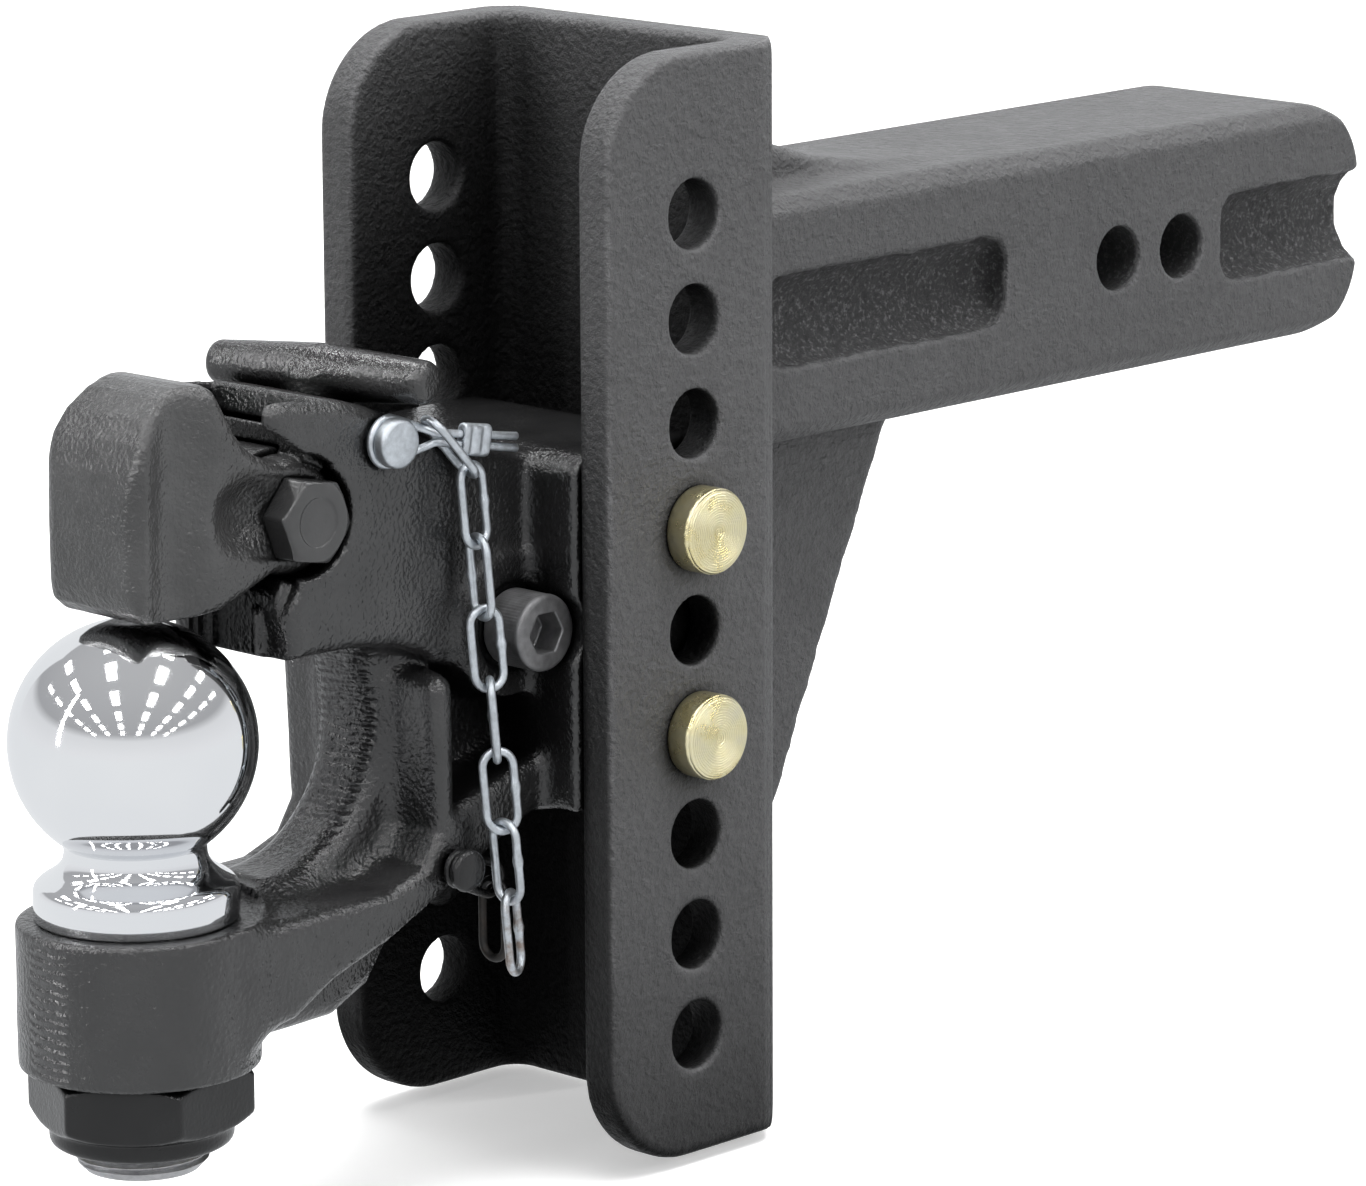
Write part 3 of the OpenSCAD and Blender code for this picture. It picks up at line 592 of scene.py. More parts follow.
# ------------------------------------------------------------------ materials
def powder_coat(name, base=(0.074, 0.074, 0.0755), forged=False):
    """Orange-peel powder coat with paler edges, partly wear and partly a painted edge highlight,
    and painted shade in recesses; forged adds a rough skin in the pockets.
    """
    s = Shader(name)
    cloud = s.noise(scale=30, detail=4, rough=0.6)
    color = s.mix(s.remap(cloud, (0.3, 0.7)), shade(base, 0.88), shade(base, 1.12))
    peel = s.noise(scale=520, detail=4, rough=0.62)
    color = s.mix(s.remap(peel, (0.38, 0.68), to=(0, 0.45)), color, shade(base, 1.55))
    # paler convex edges: edge wear together with a painted edge highlight
    worn_highlit_edges = s.times(s.remap(s.pointiness(), (0.515, 0.57)),
                   s.remap(s.noise(scale=70, detail=4, rough=0.7), (0.42, 0.60), to=(0.25, 1)))
    color = s.mix(worn_highlit_edges, color, shade(base, 2.6))
    normal = s.bump(peel, distance=0.0021, strength=0.95)
    normal = s.bump(s.noise(scale=1300, rough=0.6), distance=0.00028, strength=0.6, under=normal)
    if forged:
        normal = s.bump(s.noise(scale=240, detail=5, rough=0.66), distance=0.0012,
                        strength=0.45, under=normal)
        # mask of the side pockets' floors: inside the flank and near mid height
        place = s.axes()
        across = s.math("ABSOLUTE", place[1])
        height = s.math("ABSOLUTE", place[2])
        pocket = s.times(s.remap(across, (0.0309, 0.0300)), s.remap(height, (0.0150, 0.0135)))
        skin = s.times(s.noise(scale=620, detail=6, rough=0.75), pocket)
        normal = s.bump(skin, distance=0.0030, under=normal)
        glint = s.remap(s.noise(scale=900, detail=4, rough=0.7), (0.52, 0.66), to=(0, 0.8))
        color = s.mix(s.times(glint, pocket), color, (0.34, 0.34, 0.345))
        # painted shade in the pockets: colour and specular darkened a little
        light = s.painted_recess_shade(distance=0.03, span=(0.20, 0.60), deepest=0.62)
    else:
        # painted shade: colour and specular darkened deep inside recesses such as the channel
        light = s.painted_recess_shade(distance=0.16, span=(0.40, 0.80), deepest=0.10)
    rough = s.remap(s.noise(scale=240), (0.3, 0.7), to=(0.36, 0.50))
    return s.finish(color=s.darken(color, light), rough=rough, normal=normal,
                    specular=s.times(light, 0.40))


def cast_black(name, base=(0.0165, 0.0165, 0.0168), relief=1.0, fineness=1.0,
               lines=False, specular=0.78):
    """Glossy black over a casting, with painted edge highlights and painted shade in crevices;
    lines adds level ridges in the throat and on the seat.
    """
    s = Shader(name)
    color = s.mix(s.remap(s.noise(scale=60, detail=4), (0.35, 0.7)), base, shade(base, 1.7))
    # paler convex edges: a painted edge highlight
    color = s.mix(s.remap(s.pointiness(), (0.52, 0.62), to=(0, 0.5)), color,
                  (0.06, 0.06, 0.062))
    normal = s.bump(s.noise(scale=250 * fineness, detail=2, rough=0.45),
                    distance=0.0007 * relief, strength=0.35)
    normal = s.bump(s.noise(scale=860 * fineness, detail=2, rough=0.5),
                    distance=0.00052 * relief, strength=0.75, under=normal)
    normal = s.bump(s.cells(scale=900 * fineness),
                    distance=0.00022 * relief, strength=0.6, under=normal)
    normal = s.bump(s.noise(scale=1700 * fineness, detail=2, rough=0.5),
                    distance=0.00014 * relief, strength=0.6, under=normal)
    if lines:
        place = s.axes()
        radius = s.radius(s.math("ADD", place[0], -(THROAT_X + HEAD_X) * MM),
                          s.math("ADD", place[2], -(THROAT_Z + HEAD_Z) * MM))
        throat = s.times(s.remap(radius, (0.0352, 0.0342)),
                         s.remap(s.math("ABSOLUTE", place[1]), (0.0112, 0.0100)))
        throat = s.times(throat, s.remap(place[0], (-0.262, -0.258)))
        seat = s.times(s.remap(place[0], (-0.3437, -0.3441)),
                       s.remap(place[2], (-0.119, -0.124)))
        mask = s.math("MAXIMUM", throat, seat)
        ridges = s.wave(place[2], wobble=s.times(s.noise(scale=90), 0.0045), period=0.0023)
        normal = s.bump(s.times(ridges, mask), distance=0.00036, strength=0.8, under=normal)
        color = s.mix(s.times(mask, 0.5), color, (0.030, 0.030, 0.031))
    rough = s.remap(s.noise(scale=150), (0.3, 0.75), to=(0.10, 0.24))
    # painted shade: colour and specular darkened in crevices
    light = s.painted_recess_shade(distance=0.045, span=(0.25, 0.72), deepest=0.12)
    return s.finish(color=s.darken(color, light), rough=rough, normal=normal,
                    specular=s.times(s.remap(light, (0.12, 1), to=(0.12, 1)), specular))


def chrome(name):
    s = Shader(name)
    smear = s.noise(scale=42, detail=6, rough=0.65)
    color = s.mix(s.remap(s.noise(scale=14), (0.3, 0.7)),
                  (0.80, 0.81, 0.83), (0.88, 0.885, 0.89))
    return s.finish(color=color, metal=1.0, rough=s.remap(smear, (0.35, 0.8), to=(0.035, 0.10)),
                    normal=s.bump(s.noise(scale=30, detail=2), distance=0.0001, strength=0.15))


def zinc(name, base=(0.62, 0.66, 0.70), rust=0.0, rough=(0.30, 0.50)):
    """Mottled zinc or steel, with rust spots that fade out upwards."""
    s = Shader(name)
    mottle = s.noise(scale=420, detail=5, rough=0.65)
    color = s.mix(s.remap(mottle, (0.3, 0.72)), shade(base, 0.72), shade(base, 1.12))
    if rust > 0:
        low_down = s.remap(s.axes()[2], (-0.134, -0.120), to=(1, 0))
        spots = s.remap(s.noise(scale=260, detail=5, rough=0.7), (0.42, 0.62), to=(0, rust))
        color = s.mix(s.times(spots, low_down), color, (0.20, 0.12, 0.07))
    normal = s.bump(s.noise(scale=900, detail=4, rough=0.7), distance=0.00012, strength=0.6)
    normal = s.bump(s.noise(scale=150, detail=2), distance=0.0004, strength=0.3, under=normal)
    return s.finish(color=color, metal=0.9, normal=normal,
                    rough=s.remap(s.noise(scale=300), (0.3, 0.7), to=rough))


def yellow_zinc(name, height):
    """Yellow zinc with turned rings about a hitch pin at a head-frame height."""
    s = Shader(name)
    place = s.axes()
    radius = s.radius(s.math("ADD", place[0], -HEAD_X * MM),
                      s.math("SUBTRACT", place[2], (height + HEAD_Z) * MM))
    rings = s.wave(radius, wobble=s.times(s.noise(scale=500, detail=2), 0.0002),
                   period=0.00062)
    tint = s.noise(scale=120, detail=4, rough=0.6)
    color = s.ramp(tint, [(0.30, (0.78, 0.67, 0.33)), (0.5, (0.90, 0.83, 0.54)),
                          (0.72, (0.84, 0.79, 0.60))])
    color = s.mix(s.remap(rings, (-1, 1), to=(0, 0.35)), color, (0.64, 0.56, 0.29))
    normal = s.bump(rings, distance=0.00012, strength=0.7)
    normal = s.bump(s.noise(scale=700), distance=0.00006, strength=0.5, under=normal)
    tangent = s.add("ShaderNodeTangent", direction_type="RADIAL", axis="Y")
    return s.finish(color=color, metal=0.92, normal=normal, anisotropic=0.75,
                    tangent=tangent.outputs[0], rough=s.remap(tint, (0.3, 0.7), to=(0.24, 0.36)))


def black_oxide(name, base, metal, rough):
    s = Shader(name)
    mottle = s.noise(scale=260, detail=4, rough=0.6)
    color = s.mix(s.remap(mottle, (0.3, 0.7)), base, shade(base, 1.8))
    color = s.mix(s.remap(s.pointiness(), (0.51, 0.58), to=(0, 0.6)), color,
                  (0.14, 0.14, 0.145))
    return s.finish(color=color, metal=metal, rough=s.remap(mottle, (0.3, 0.7), to=rough),
                    normal=s.bump(s.noise(scale=800), distance=0.0001, strength=0.5))


def nylon(name):
    s = Shader(name)
    mottle = s.noise(scale=300)
    color = s.mix(s.remap(mottle, (0.3, 0.7)), (0.52, 0.50, 0.42), (0.62, 0.60, 0.52))
    return s.finish(color=color, rough=s.remap(mottle, (0.3, 0.7), to=(0.4, 0.55)),
                    normal=s.bump(mottle, distance=0.0001, strength=0.3))


FINISH = {
    "powder": powder_coat("powder_coat"),
    "forged": powder_coat("forged_coat", base=(0.070, 0.070, 0.0715), forged=True),
    "weld": powder_coat("weld_coat", base=(0.055, 0.055, 0.057)),
    "cast": cast_black("cast_black", lines=True),
    "bolt": cast_black("bolt_black", base=(0.026, 0.026, 0.0265), relief=0.10, fineness=1.6),
    # a lighter copy of the hook's black paint, painting the brighter light that falls on the
    # latch
    "latch": cast_black("cast_black_latch_lit", base=(0.030, 0.030, 0.0303), fineness=1.1),
    "handle": cast_black("cast_black_handle", base=(0.020, 0.020, 0.0203), relief=0.6,
                         fineness=1.2),
    "nut": cast_black("nut_black", base=(0.007, 0.007, 0.0073), relief=0.22, fineness=1.5,
                      specular=0.42),
    "chrome": chrome("chrome_plate"),
    "zinc": zinc("bright_zinc"),
    "chain": zinc("chain_zinc", rust=0.75),
    # a spare finish that no piece wears
    "worn chain": zinc("chain_zinc_worn", base=(0.50, 0.47, 0.42), rust=0.95),
    "clip": zinc("clip_zinc", base=(0.57, 0.58, 0.60), rough=(0.22, 0.36)),
    "steel": zinc("plain_steel", base=(0.44, 0.44, 0.45), rough=(0.26, 0.42)),
    "oxide": black_oxide("black_oxide", base=(0.125, 0.125, 0.128), metal=0.55,
                         rough=(0.30, 0.40)),
    "rusty": zinc("chain_rusty", base=(0.045, 0.044, 0.043), rust=0.12, rough=(0.45, 0.6)),
    "nylon": nylon("nylon_ring"),
    "upper pin": yellow_zinc("yellow_zinc_upper", HOLE_PITCH),
    "lower pin": yellow_zinc("yellow_zinc_lower", -HOLE_PITCH),
}


# ------------------------------------------------------------------ channel
def build_channel():
    """Upright channel, open towards -X, with nine cross holes through its flanges."""
    inner_x, open_x = 24.3, -30.15
    outer_radius, inner_radius, end_radius, edge = 14, 5.5, 27, 2.6
    half, gap_half = CHANNEL_HALF, CHANNEL_GAP / 2
    axes = x, y, z = grid((open_x, -half, CHANNEL_BOTTOM), (CHANNEL_FACE, half, CHANNEL_TOP),
                          0.95)
    across = np.abs(y)
    rounded = corner(x - (CHANNEL_FACE - outer_radius), across - (half - outer_radius),
                     outer_radius)
    square = np.maximum(x - CHANNEL_FACE, across - half)
    outer = np.maximum(np.where(rounded > 0, rounded, square), open_x - x)
    rounded = corner(x - (inner_x - inner_radius), across - (gap_half - inner_radius),
                     inner_radius)
    inner = np.where(rounded > -5.4, rounded,
                     np.maximum(x - inner_x, across - gap_half))
    section = cut(outer, inner, edge)
    # flange corners rounded in side view
    middle, half_height = (CHANNEL_TOP + CHANNEL_BOTTOM) / 2, (CHANNEL_TOP - CHANNEL_BOTTOM) / 2
    height = np.abs(z - middle)
    corner_x, corner_z = open_x + end_radius, half_height - end_radius
    side = np.where((x < corner_x) & (height > corner_z),
                    circle(x, height, corner_x, corner_z, end_radius),
                    np.maximum(height - half_height, open_x - x))
    body = meet(section, side, edge)
    for i in range(9):
        body = cut(body, circle(x, z, 0, (i - 4) * HOLE_PITCH, 8.42), 1.3)
    body = body + (lattice_noise(axes, 9.0, seed=61) + 1) * 0.03
    field_piece("channel_plate", "channel", body, axes, FINISH["powder"],
                x=(open_x, CHANNEL_FACE), y=(-half, half), z=(CHANNEL_BOTTOM, CHANNEL_TOP))


# ------------------------------------------------------------------ shank, part frame
def from_face(*points):
    """Outline points whose first value is measured from the channel's face."""
    return [(FACE_X + dx, other) for dx, other in points]


def build_shank():
    half, nose = SHANK_HALF, 22
    axes = x, y, z = grid((FACE_X, -32, -32), (SHANK_END, 32, 60), 0.9)
    across, height = np.abs(y), np.abs(z)
    body = rounded_box(axes, (FACE_X - 20, -half, -half), (SHANK_END, half, half), 0.6)
    body = meet(body, (across + height - (2 * half - 4.8)) * 0.70711, 0.9)
    body = meet(body, corner(x - (SHANK_END - nose), height - (half - nose), nose), 2.0)
    body = meet(body, FACE_X - x)
    # buttress on top, against the channel: (x from the face, z)
    buttress = polygon(x, z, from_face(
        (-10, 10), (-10, 59), (0, 59), (5, 55), (12, 49.5), (19, 45.5), (27, 42),
        (45, 36.5), (68, 32.6), (84, 30.6), (84, 10)))
    body = join(body, meet(buttress, across - 16.6, 5.0), 4.0)
    body = meet(body, FACE_X - x)
    # round-bottomed pockets in both sides, from x to x
    coarse, fine = lattice_noise(axes, 5.0, seed=3), lattice_noise(axes, 2.2, seed=5)
    pocket_half, depth = 13.3, 8.0
    groove = (pocket_half * pocket_half + depth * depth) / (2 * depth)
    for start, end in ((HEAD_X + 43.5, HEAD_X + 133.5), (SHANK_END - 58.3, SHANK_END + 20)):
        section = circle(across, z, half - depth + groove, 0, groove)
        plan = corner(np.abs(x - (start + end) / 2) - ((end - start) / 2 - 9),
                      height - (pocket_half - 9), 9.2)
        pocket = meet(section, plan, 5.0) + coarse * 0.30 + fine * 0.34
        body = cut(body, pocket, 1.1)
    for hole_x in (0, HOLE_PITCH):
        body = cut(body, circle(x, z, hole_x, 0, 8.45), 0.9)
    field_piece("shank_forging", "shank", body, axes, FINISH["forged"], head=False,
                x=(FACE_X, SHANK_END))


def build_gusset():
    """Triangular plate under the shank."""
    reach, half = 74, 15
    axes = x, y, z = grid((FACE_X, -half, -185.5), (FACE_X + reach, half, -31), 0.95)
    outline = polygon(x, z, from_face((-8, -20), (76, -20), (reach, -34), (71, -40),
                                      (9, -178.5), (4, -183.5), (-8, -187)))
    waves = [lattice_noise(axes, size, seed) for size, seed in ((9.0, 11), (3.5, 12), (1.8, 13))]
    body = meet(outline, np.abs(y) - 14.4, 3.4)
    body = body + waves[0] * 0.16 + waves[1] * 0.14 + waves[2] * 0.10 + 0.12
    for limit in (FACE_X - x, z + 31.8, np.abs(y) - half, x - (FACE_X + reach)):
        body = np.maximum(body, limit)
    field_piece("gusset_plate", "gusset", body, axes, FINISH["forged"], head=False,
                x=(FACE_X, FACE_X + reach), y=(-half, half), z=(-184.7, -SHANK_HALF))


def build_welds():
    """Rippled fillets on the channel's face, round the gusset and over the shank."""
    axes = x, y, z = grid((FACE_X, -31, -191), (FACE_X + 9, 31, 40), 0.85)
    body = np.inf
    upright_ripple = 0.45 * np.cos(z * (2 * math.pi / 3.4))
    level_ripple = np.cos(y * (2 * math.pi / 3.2))
    for side in (-1, 1):
        # (x from the face, y)
        upright = polygon(x, y * side, from_face(
            (-3, 14), (-3, 24), (0.5, 23.5), (4, 22.1), (7.2, 18.6), (8.2, 15.0), (8.2, 14)))
        upright = meet(upright, slab(z, -174, -36.5), 2.5) + upright_ripple * 0.9
        body = np.minimum(body, upright)
        # (x from the face, z)
        top = polygon(x, z, from_face((-3, 31.9), (7.2, 31.9), (6.2, 34.7), (3, 38), (-3, 39.1)))
        top = meet(top, slab(y * side, 17.6, 29.0), 2.2) + 0.35 * level_ripple + 0.1
        body = np.minimum(body, top)
    foot = polygon(x, z, from_face(
        (-3, -184.9), (0.2, -184.9), (4.6, -182.4), (4.2, -186), (0.5, -190), (-3, -190.2)))
    foot = meet(foot, np.abs(y) - 14.6, 2.0) + 0.3 * level_ripple + 0.12
    body = np.minimum(body, foot)
    body = np.maximum(body, FACE_X - x)
    # keep clear of the gusset's own faces
    body = cut(body, np.maximum(np.abs(y) - 15.02, slab(z, -176, 0)))
    field_piece("weld_fillets", "weld_beads", body, axes, FINISH["weld"], head=False,
                x=(FACE_X, FACE_X + 9))


# ------------------------------------------------------------------ hook body
def from_pivot(*offsets):
    return [(PIVOT_X + dx, PIVOT_Z + dz) for dx, dz in offsets]


def latch_room(x, y, z):
    """Spaces cut from the hook for the latch: (field, edge blend)."""
    across = np.abs(y)

    def round_pivot(radius):
        return circle(x, z, PIVOT_X, PIVOT_Z, radius)

    ears = np.maximum(round_pivot(14.8), slab(across, 7.99, 18.5))
    above = polygon(x, z, from_pivot((0, 0), (9.3, 32), (-40, 40), (-40, -21.2), (-9, -21.2),
                                     (-5, -14.4)))
    above = np.maximum(above, slab(across, 7.99, 18.5))
    wings = np.minimum(round_pivot(13.6), polygon(x, z, from_pivot(
        (0, 0), (8, 12), (3.3, 14.8), (-1.4, 16), (-6, 19.2), (-9.5, 21.4), (-25, 24),
        (-25, -22), (-7, -22), (-3.2, -16))))
    wings = np.maximum(wings, 18.0 - across)
    middle = polygon(x, z, from_pivot((-40, -21.2), (-15, -21.2), (0, 0), (9.3, 32), (-40, 40)))
    lug = np.minimum(round_pivot(15.5), polygon(x, z, from_pivot(
        (-15.5, 0), (0, 0), (0, -22), (-15.5, -22))))
    middle = np.maximum(cut(middle, lug), across - 8.01)
    tooth = polygon(x, z, from_pivot((0, 0), (0, -1.5), (30, -1.5), (30, 9), (14, 30), (0, 34)))
    tooth = np.maximum(np.maximum(tooth, round_pivot(21.5)), across - 18.5)
    tooth = cut(tooth, np.maximum(round_pivot(15.5), across - 8.0))
    return (ears, 0.5), (above, 0.5), (wings, 1.6), (middle, 0.5), (tooth, 0.5)


# outlines in side view, (x, z)
ARM = [
    (-106.5, 5.5), (-95, 5.4), (-84, 4.9), (-72, 3), (-62, -0.6), (-52, -6), (-44, -12),
    (-29, -14), (-29, 44), (-36, 46.5), (-50, 51), (-66, 57.5), (-76, 61.5), (-89, 65.5),
    (-103, 67.4), (-109.5, 68), (-112.6, 67.3), (-114.1, 65.2), (-113.9, 62.6),
    (-110.5, 58.6), (-108, 54), (-108, 16.5)]
WEB = [
    (-75, 8), (-29, 8), (-29, -41), (-50, -51), (-62, -68), (-72, -82), (-84, -87.5),
    (-112, -88.2), (-112, -54), (-104.5, -51), (-104.5, -16), (-75, -16)]
RIB = [
    (-66.8, -7.5), (-66, -5.6), (-64, -4.4), (-61.5, -4.6), (-59.6, -6.0), (-59, -8),
    (-58.8, -36.5), (-42, -31.6), (-29, -28), (-29, -42.3), (-37, -45), (-49, -51),
    (-68, -60), (-82, -66.5), (-99, -72), (-112, -79), (-128, -81), (-128, -55),
    (-110, -54.2), (-100, -53.8), (-81, -53.5), (-70, -49.5), (-65.3, -42), (-65.8, -30)]
BEAK = [(-103, 5.8), (-110, 5.9), (-113.5, 10.5), (-117.5, 14.5), (-119.2, 17), (-103, 17.3)]


def hook_block(axes):
    """Block that fits between the channel's flanges."""
    x, y, z = axes
    block = rounded_box(axes, (-30, -BLOCK_HALF, -42.4), (BLOCK_X, BLOCK_HALF, 45.5), 2.2)
    hook_side = corner(-23 - x, z - 38.5, 7)
    channel_side = corner(x - 8, np.maximum(z - 31.5, -28.4 - z), 14)
    block = np.maximum(block, np.maximum(hook_side, channel_side))
    chamfer = (x - BLOCK_X + np.abs(y) - BLOCK_HALF + 3.6) * 0.7071
    return meet(block, chamfer, 1.0)


def build_hook():
    axes = x, y, z = grid((-167, -38.2, -89), (22.2, 38.2, 69), 0.85)
    across = np.abs(y)
    block = hook_block(axes)
    web = cut(polygon(x, z, WEB), circle(x, z, THROAT_X, THROAT_Z, THROAT_RADIUS), 1.5)
    boss = np.maximum(circle(x, z, SCREW_X, SCREW_Z, 17.0), across + SCREW_SEAT_Y)
    body = extrude(polygon(x, z, ARM), 22.0, y, edge=2.2)
    for part, blend in ((extrude(web, 11.0, y, edge=3.0), 7.0),
                        (extrude(polygon(x, z, RIB), 27.5, y, edge=2.0), 7.0),
                        (extrude(polygon(x, z, BEAK), 12.0, y, edge=1.0), 2.0),
                        (boss, 4.0), (block, 4.5)):
        body = join(body, part, blend)
    # round seat under the ball, with nothing left above it
    seat = meet(circle(x, y, BALL_X, 0, 28.8), slab(z, SEAT_BOTTOM, SEAT_TOP), 1.6)
    body = join(body, seat, 6.0)
    body = np.maximum(body, slab(z, SEAT_BOTTOM, HOOK_TOP))
    body = np.maximum(body, np.where(circle(x, y, BALL_X, 0, 30.5) < 0, z - SEAT_TOP, -50))
    # relief round the cap screw's head
    body = cut(body, np.maximum(circle(x, z, SCREW_X, SCREW_Z, 10.4), y - SCREW_SEAT_Y), 1.2)
    # soft casting swell everywhere but on the block
    swell = lattice_noise(axes, 14.0, seed=21) * 0.22 + lattice_noise(axes, 5.0, seed=22) * 0.10
    off_block = np.clip(np.minimum(block + 3.0, 4.0) / 4.0, 0, 1)
    body = body + (swell + 0.30) * off_block * 0.45
    for room, blend in latch_room(x, y, z):
        body = cut(body, room, blend)
    # pivot bolt, handle stem and detent bores
    body = cut(body, np.maximum(circle(x, z, PIVOT_X, PIVOT_Z, 6.5), across - 20))
    body = cut(body, np.maximum(circle(x, y, LOCK_X, 0, 7.15), slab(z, 29.5, 90)), 0.6)
    body = cut(body, np.maximum(circle(y, z, 0, DETENT_Z, 3.3),
                                slab(x, LOCK_X + 4, LOCK_X + 22.6)))
    # trough for the handle's bar and a counterbore for its flare
    beside_bar = (x - LOCK_X) * math.cos(HANDLE_TURN) + y * math.sin(HANDLE_TURN)
    body = cut(body, circle(beside_bar, z, 0, HANDLE_Z, 7.7), 1.2)
    body = cut(body, np.maximum(circle(x, y, LOCK_X, 0, 9.2), slab(z, 61, 80)), 1.0)
    # safety pin bore with a shallow dimple at both ends
    body = cut(body, circle(x, z, LOCK_X, SAFETY_Z, 3.35), 0.8)
    body = cut(body, length(x - LOCK_X, z - SAFETY_Z, across - 34.0) - 13.6, 1.0)
    # hitch pins, ball shank, cap screw and chain stud
    for side in (-1, 1):
        body = cut(body, circle(x, z, 0, side * HOLE_PITCH, 8.25), 0.6)
    body = cut(body, circle(x, y, BALL_X, 0, 16.05))
    body = cut(body, np.maximum(circle(x, z, SCREW_X, SCREW_Z, 6.45), slab(y, -28, 16.1)))
    body = cut(body, np.maximum(circle(x, z, STUD[0], STUD[2], 2.42), slab(y, -30, -15.4)))
    field_piece("hook_casting", "hook_body", body, axes, FINISH["cast"],
                y=(-BLOCK_HALF, BLOCK_HALF), z=(SEAT_BOTTOM, HOOK_TOP), x=(-166.9, BLOCK_X))


# ------------------------------------------------------------------ latch
# side view, (x, z)
LATCH = [
    (-142, 19), (-146, 19.9), (-148.8, 22.6), (-150.3, 27), (-150.6, 33), (-150.6, 48),
    (-149.6, 55), (-147.3, 62), (-143.8, 67.5), (-138.5, 71.8), (-134.5, 73.4), (-131, 73.8),
    (-127, 73.5), (-124.6, 72.2), (-120.7, 65.4), (-118.2, 61.2), (-115.6, 58.2), (-112, 55.4),
    *from_pivot((-6, 14.6), (3, 12.4), (5, 0), (3, -12.4), (-7, -13)),
    (-116, 22.5), (-124, 19.6), (-134, 19)]


def build_latch():
    axes = x, y, z = grid((-151, -18.1, 18.5), (-80, 18.1, 74), 0.55)
    across = np.abs(y)

    def round_pivot(radius):
        return circle(x, z, PIVOT_X, PIVOT_Z, radius)

    body = extrude(np.minimum(polygon(x, z, LATCH), round_pivot(14.2)), 18.0, y, edge=2.4)
    body = meet(body, corner(-143.6 - x, across - 11, 7.0), 1.0)
    # upright hollow between the -X nose and each side face
    hollow_x = -137.9 + (z - 45) * 0.04
    body = cut(body, circle(x, across, hollow_x, 25.6, 11.5), 3.0)
    # oval hollow on the bolt head's side, towards the nose
    oval = length((x + 116.5) / 1.25, (z - 41.5) / 1.12, (y + 21.9) / 0.94) - 8.9
    body = cut(body, oval, 2.6)
    coarse, fine = lattice_noise(axes, 11.0, seed=31), lattice_noise(axes, 4.0, seed=32)
    body = body + (coarse * 0.26 + fine * 0.08 + 0.34) * 0.5
    # slot for the hook's lug
    body = cut(body, np.maximum(round_pivot(31.5), across - 8.3), 0.6)
    tooth = np.maximum(
        np.maximum(round_pivot(20.4), 13.0 - round_pivot(0)),
        polygon(x, z, from_pivot((0, 0), (17.8, 22.5), (8, 30), (4.2, 24))))
    tooth = meet(tooth, across - 17.9, 0.8)
    tooth = cut(tooth, np.maximum(round_pivot(15.95), across - 8.3))
    body = np.minimum(body, tooth)
    body = cut(body, round_pivot(6.45), 0.3)
    # tilted flat-sided seat for the bolt head, round seat for the nut
    tilt = math.radians(SEAT_TILT)
    along = (x - PIVOT_X) * math.cos(tilt) - (z - PIVOT_Z) * math.sin(tilt)
    beside = (x - PIVOT_X) * math.sin(tilt) + (z - PIVOT_Z) * math.cos(tilt)
    seat = np.maximum(np.maximum(slab(along, -12.5, 40), np.abs(beside) - 9.68), y + 16.95)
    body = cut(body, seat, 0.6)
    body = cut(body, np.maximum(round_pivot(12.9), 16.95 - y), 0.3)
    field_piece("latch_casting", "latch", body, axes, FINISH["latch"], y=(-18, 18))


def pivot_hex(x, y, z, flats, low, high, below_face):
    """Hexagon about the pivot, chamfered at the face that below_face measures from."""
    shape = meet(hexagon(x - PIVOT_X, z - PIVOT_Z, flats, 90 - SEAT_TILT),
                 slab(y, low, high), 0.5)
    radius = length(x - PIVOT_X, z - PIVOT_Z)
    return meet(shape, (radius - 9.3 - below_face * 1.7) * 0.5, 0.4)


def build_bolt():
    face_y, thread_pitch, thread_depth = -24.9, 1.95, 0.42
    axes = x, y, z = grid((-112, -25, 28), (-90, 31, 50), 0.36)
    radius = length(x - PIVOT_X, z - PIVOT_Z)
    head = pivot_hex(x, y, z, 19.05, face_y, -17.0, below_face=y - face_y)
    head = cut(head, np.maximum(radius - 5.8, y + 24.55), 0.5)
    shaft = meet(radius - 6.33, slab(y, -20, 30.9), 0.8)
    turn = np.arctan2(z - PIVOT_Z, x - PIVOT_X) / (2 * math.pi)
    phase = (y / thread_pitch + turn) % 1.0
    shaft = np.where(y > 8.5, shaft + thread_depth * (np.abs(phase - 0.5) * 2), shaft)
    field_piece("pivot_bolt", "latch_pivot_bolt", np.minimum(head, shaft), axes, FINISH["bolt"])


def build_pivot_nut():
    face_y = 29.98
    axes = x, y, z = grid((-112, 19.3, 28), (-90, 30.1, 50), 0.36)
    body = pivot_hex(x, y, z, 19.0, 19.42, face_y, below_face=face_y - y)
    body = cut(body, length(x - PIVOT_X, z - PIVOT_Z) - 6.4, 0.6)
    field_piece("pivot_nut", "latch_pivot_nut", body, axes, FINISH["oxide"])


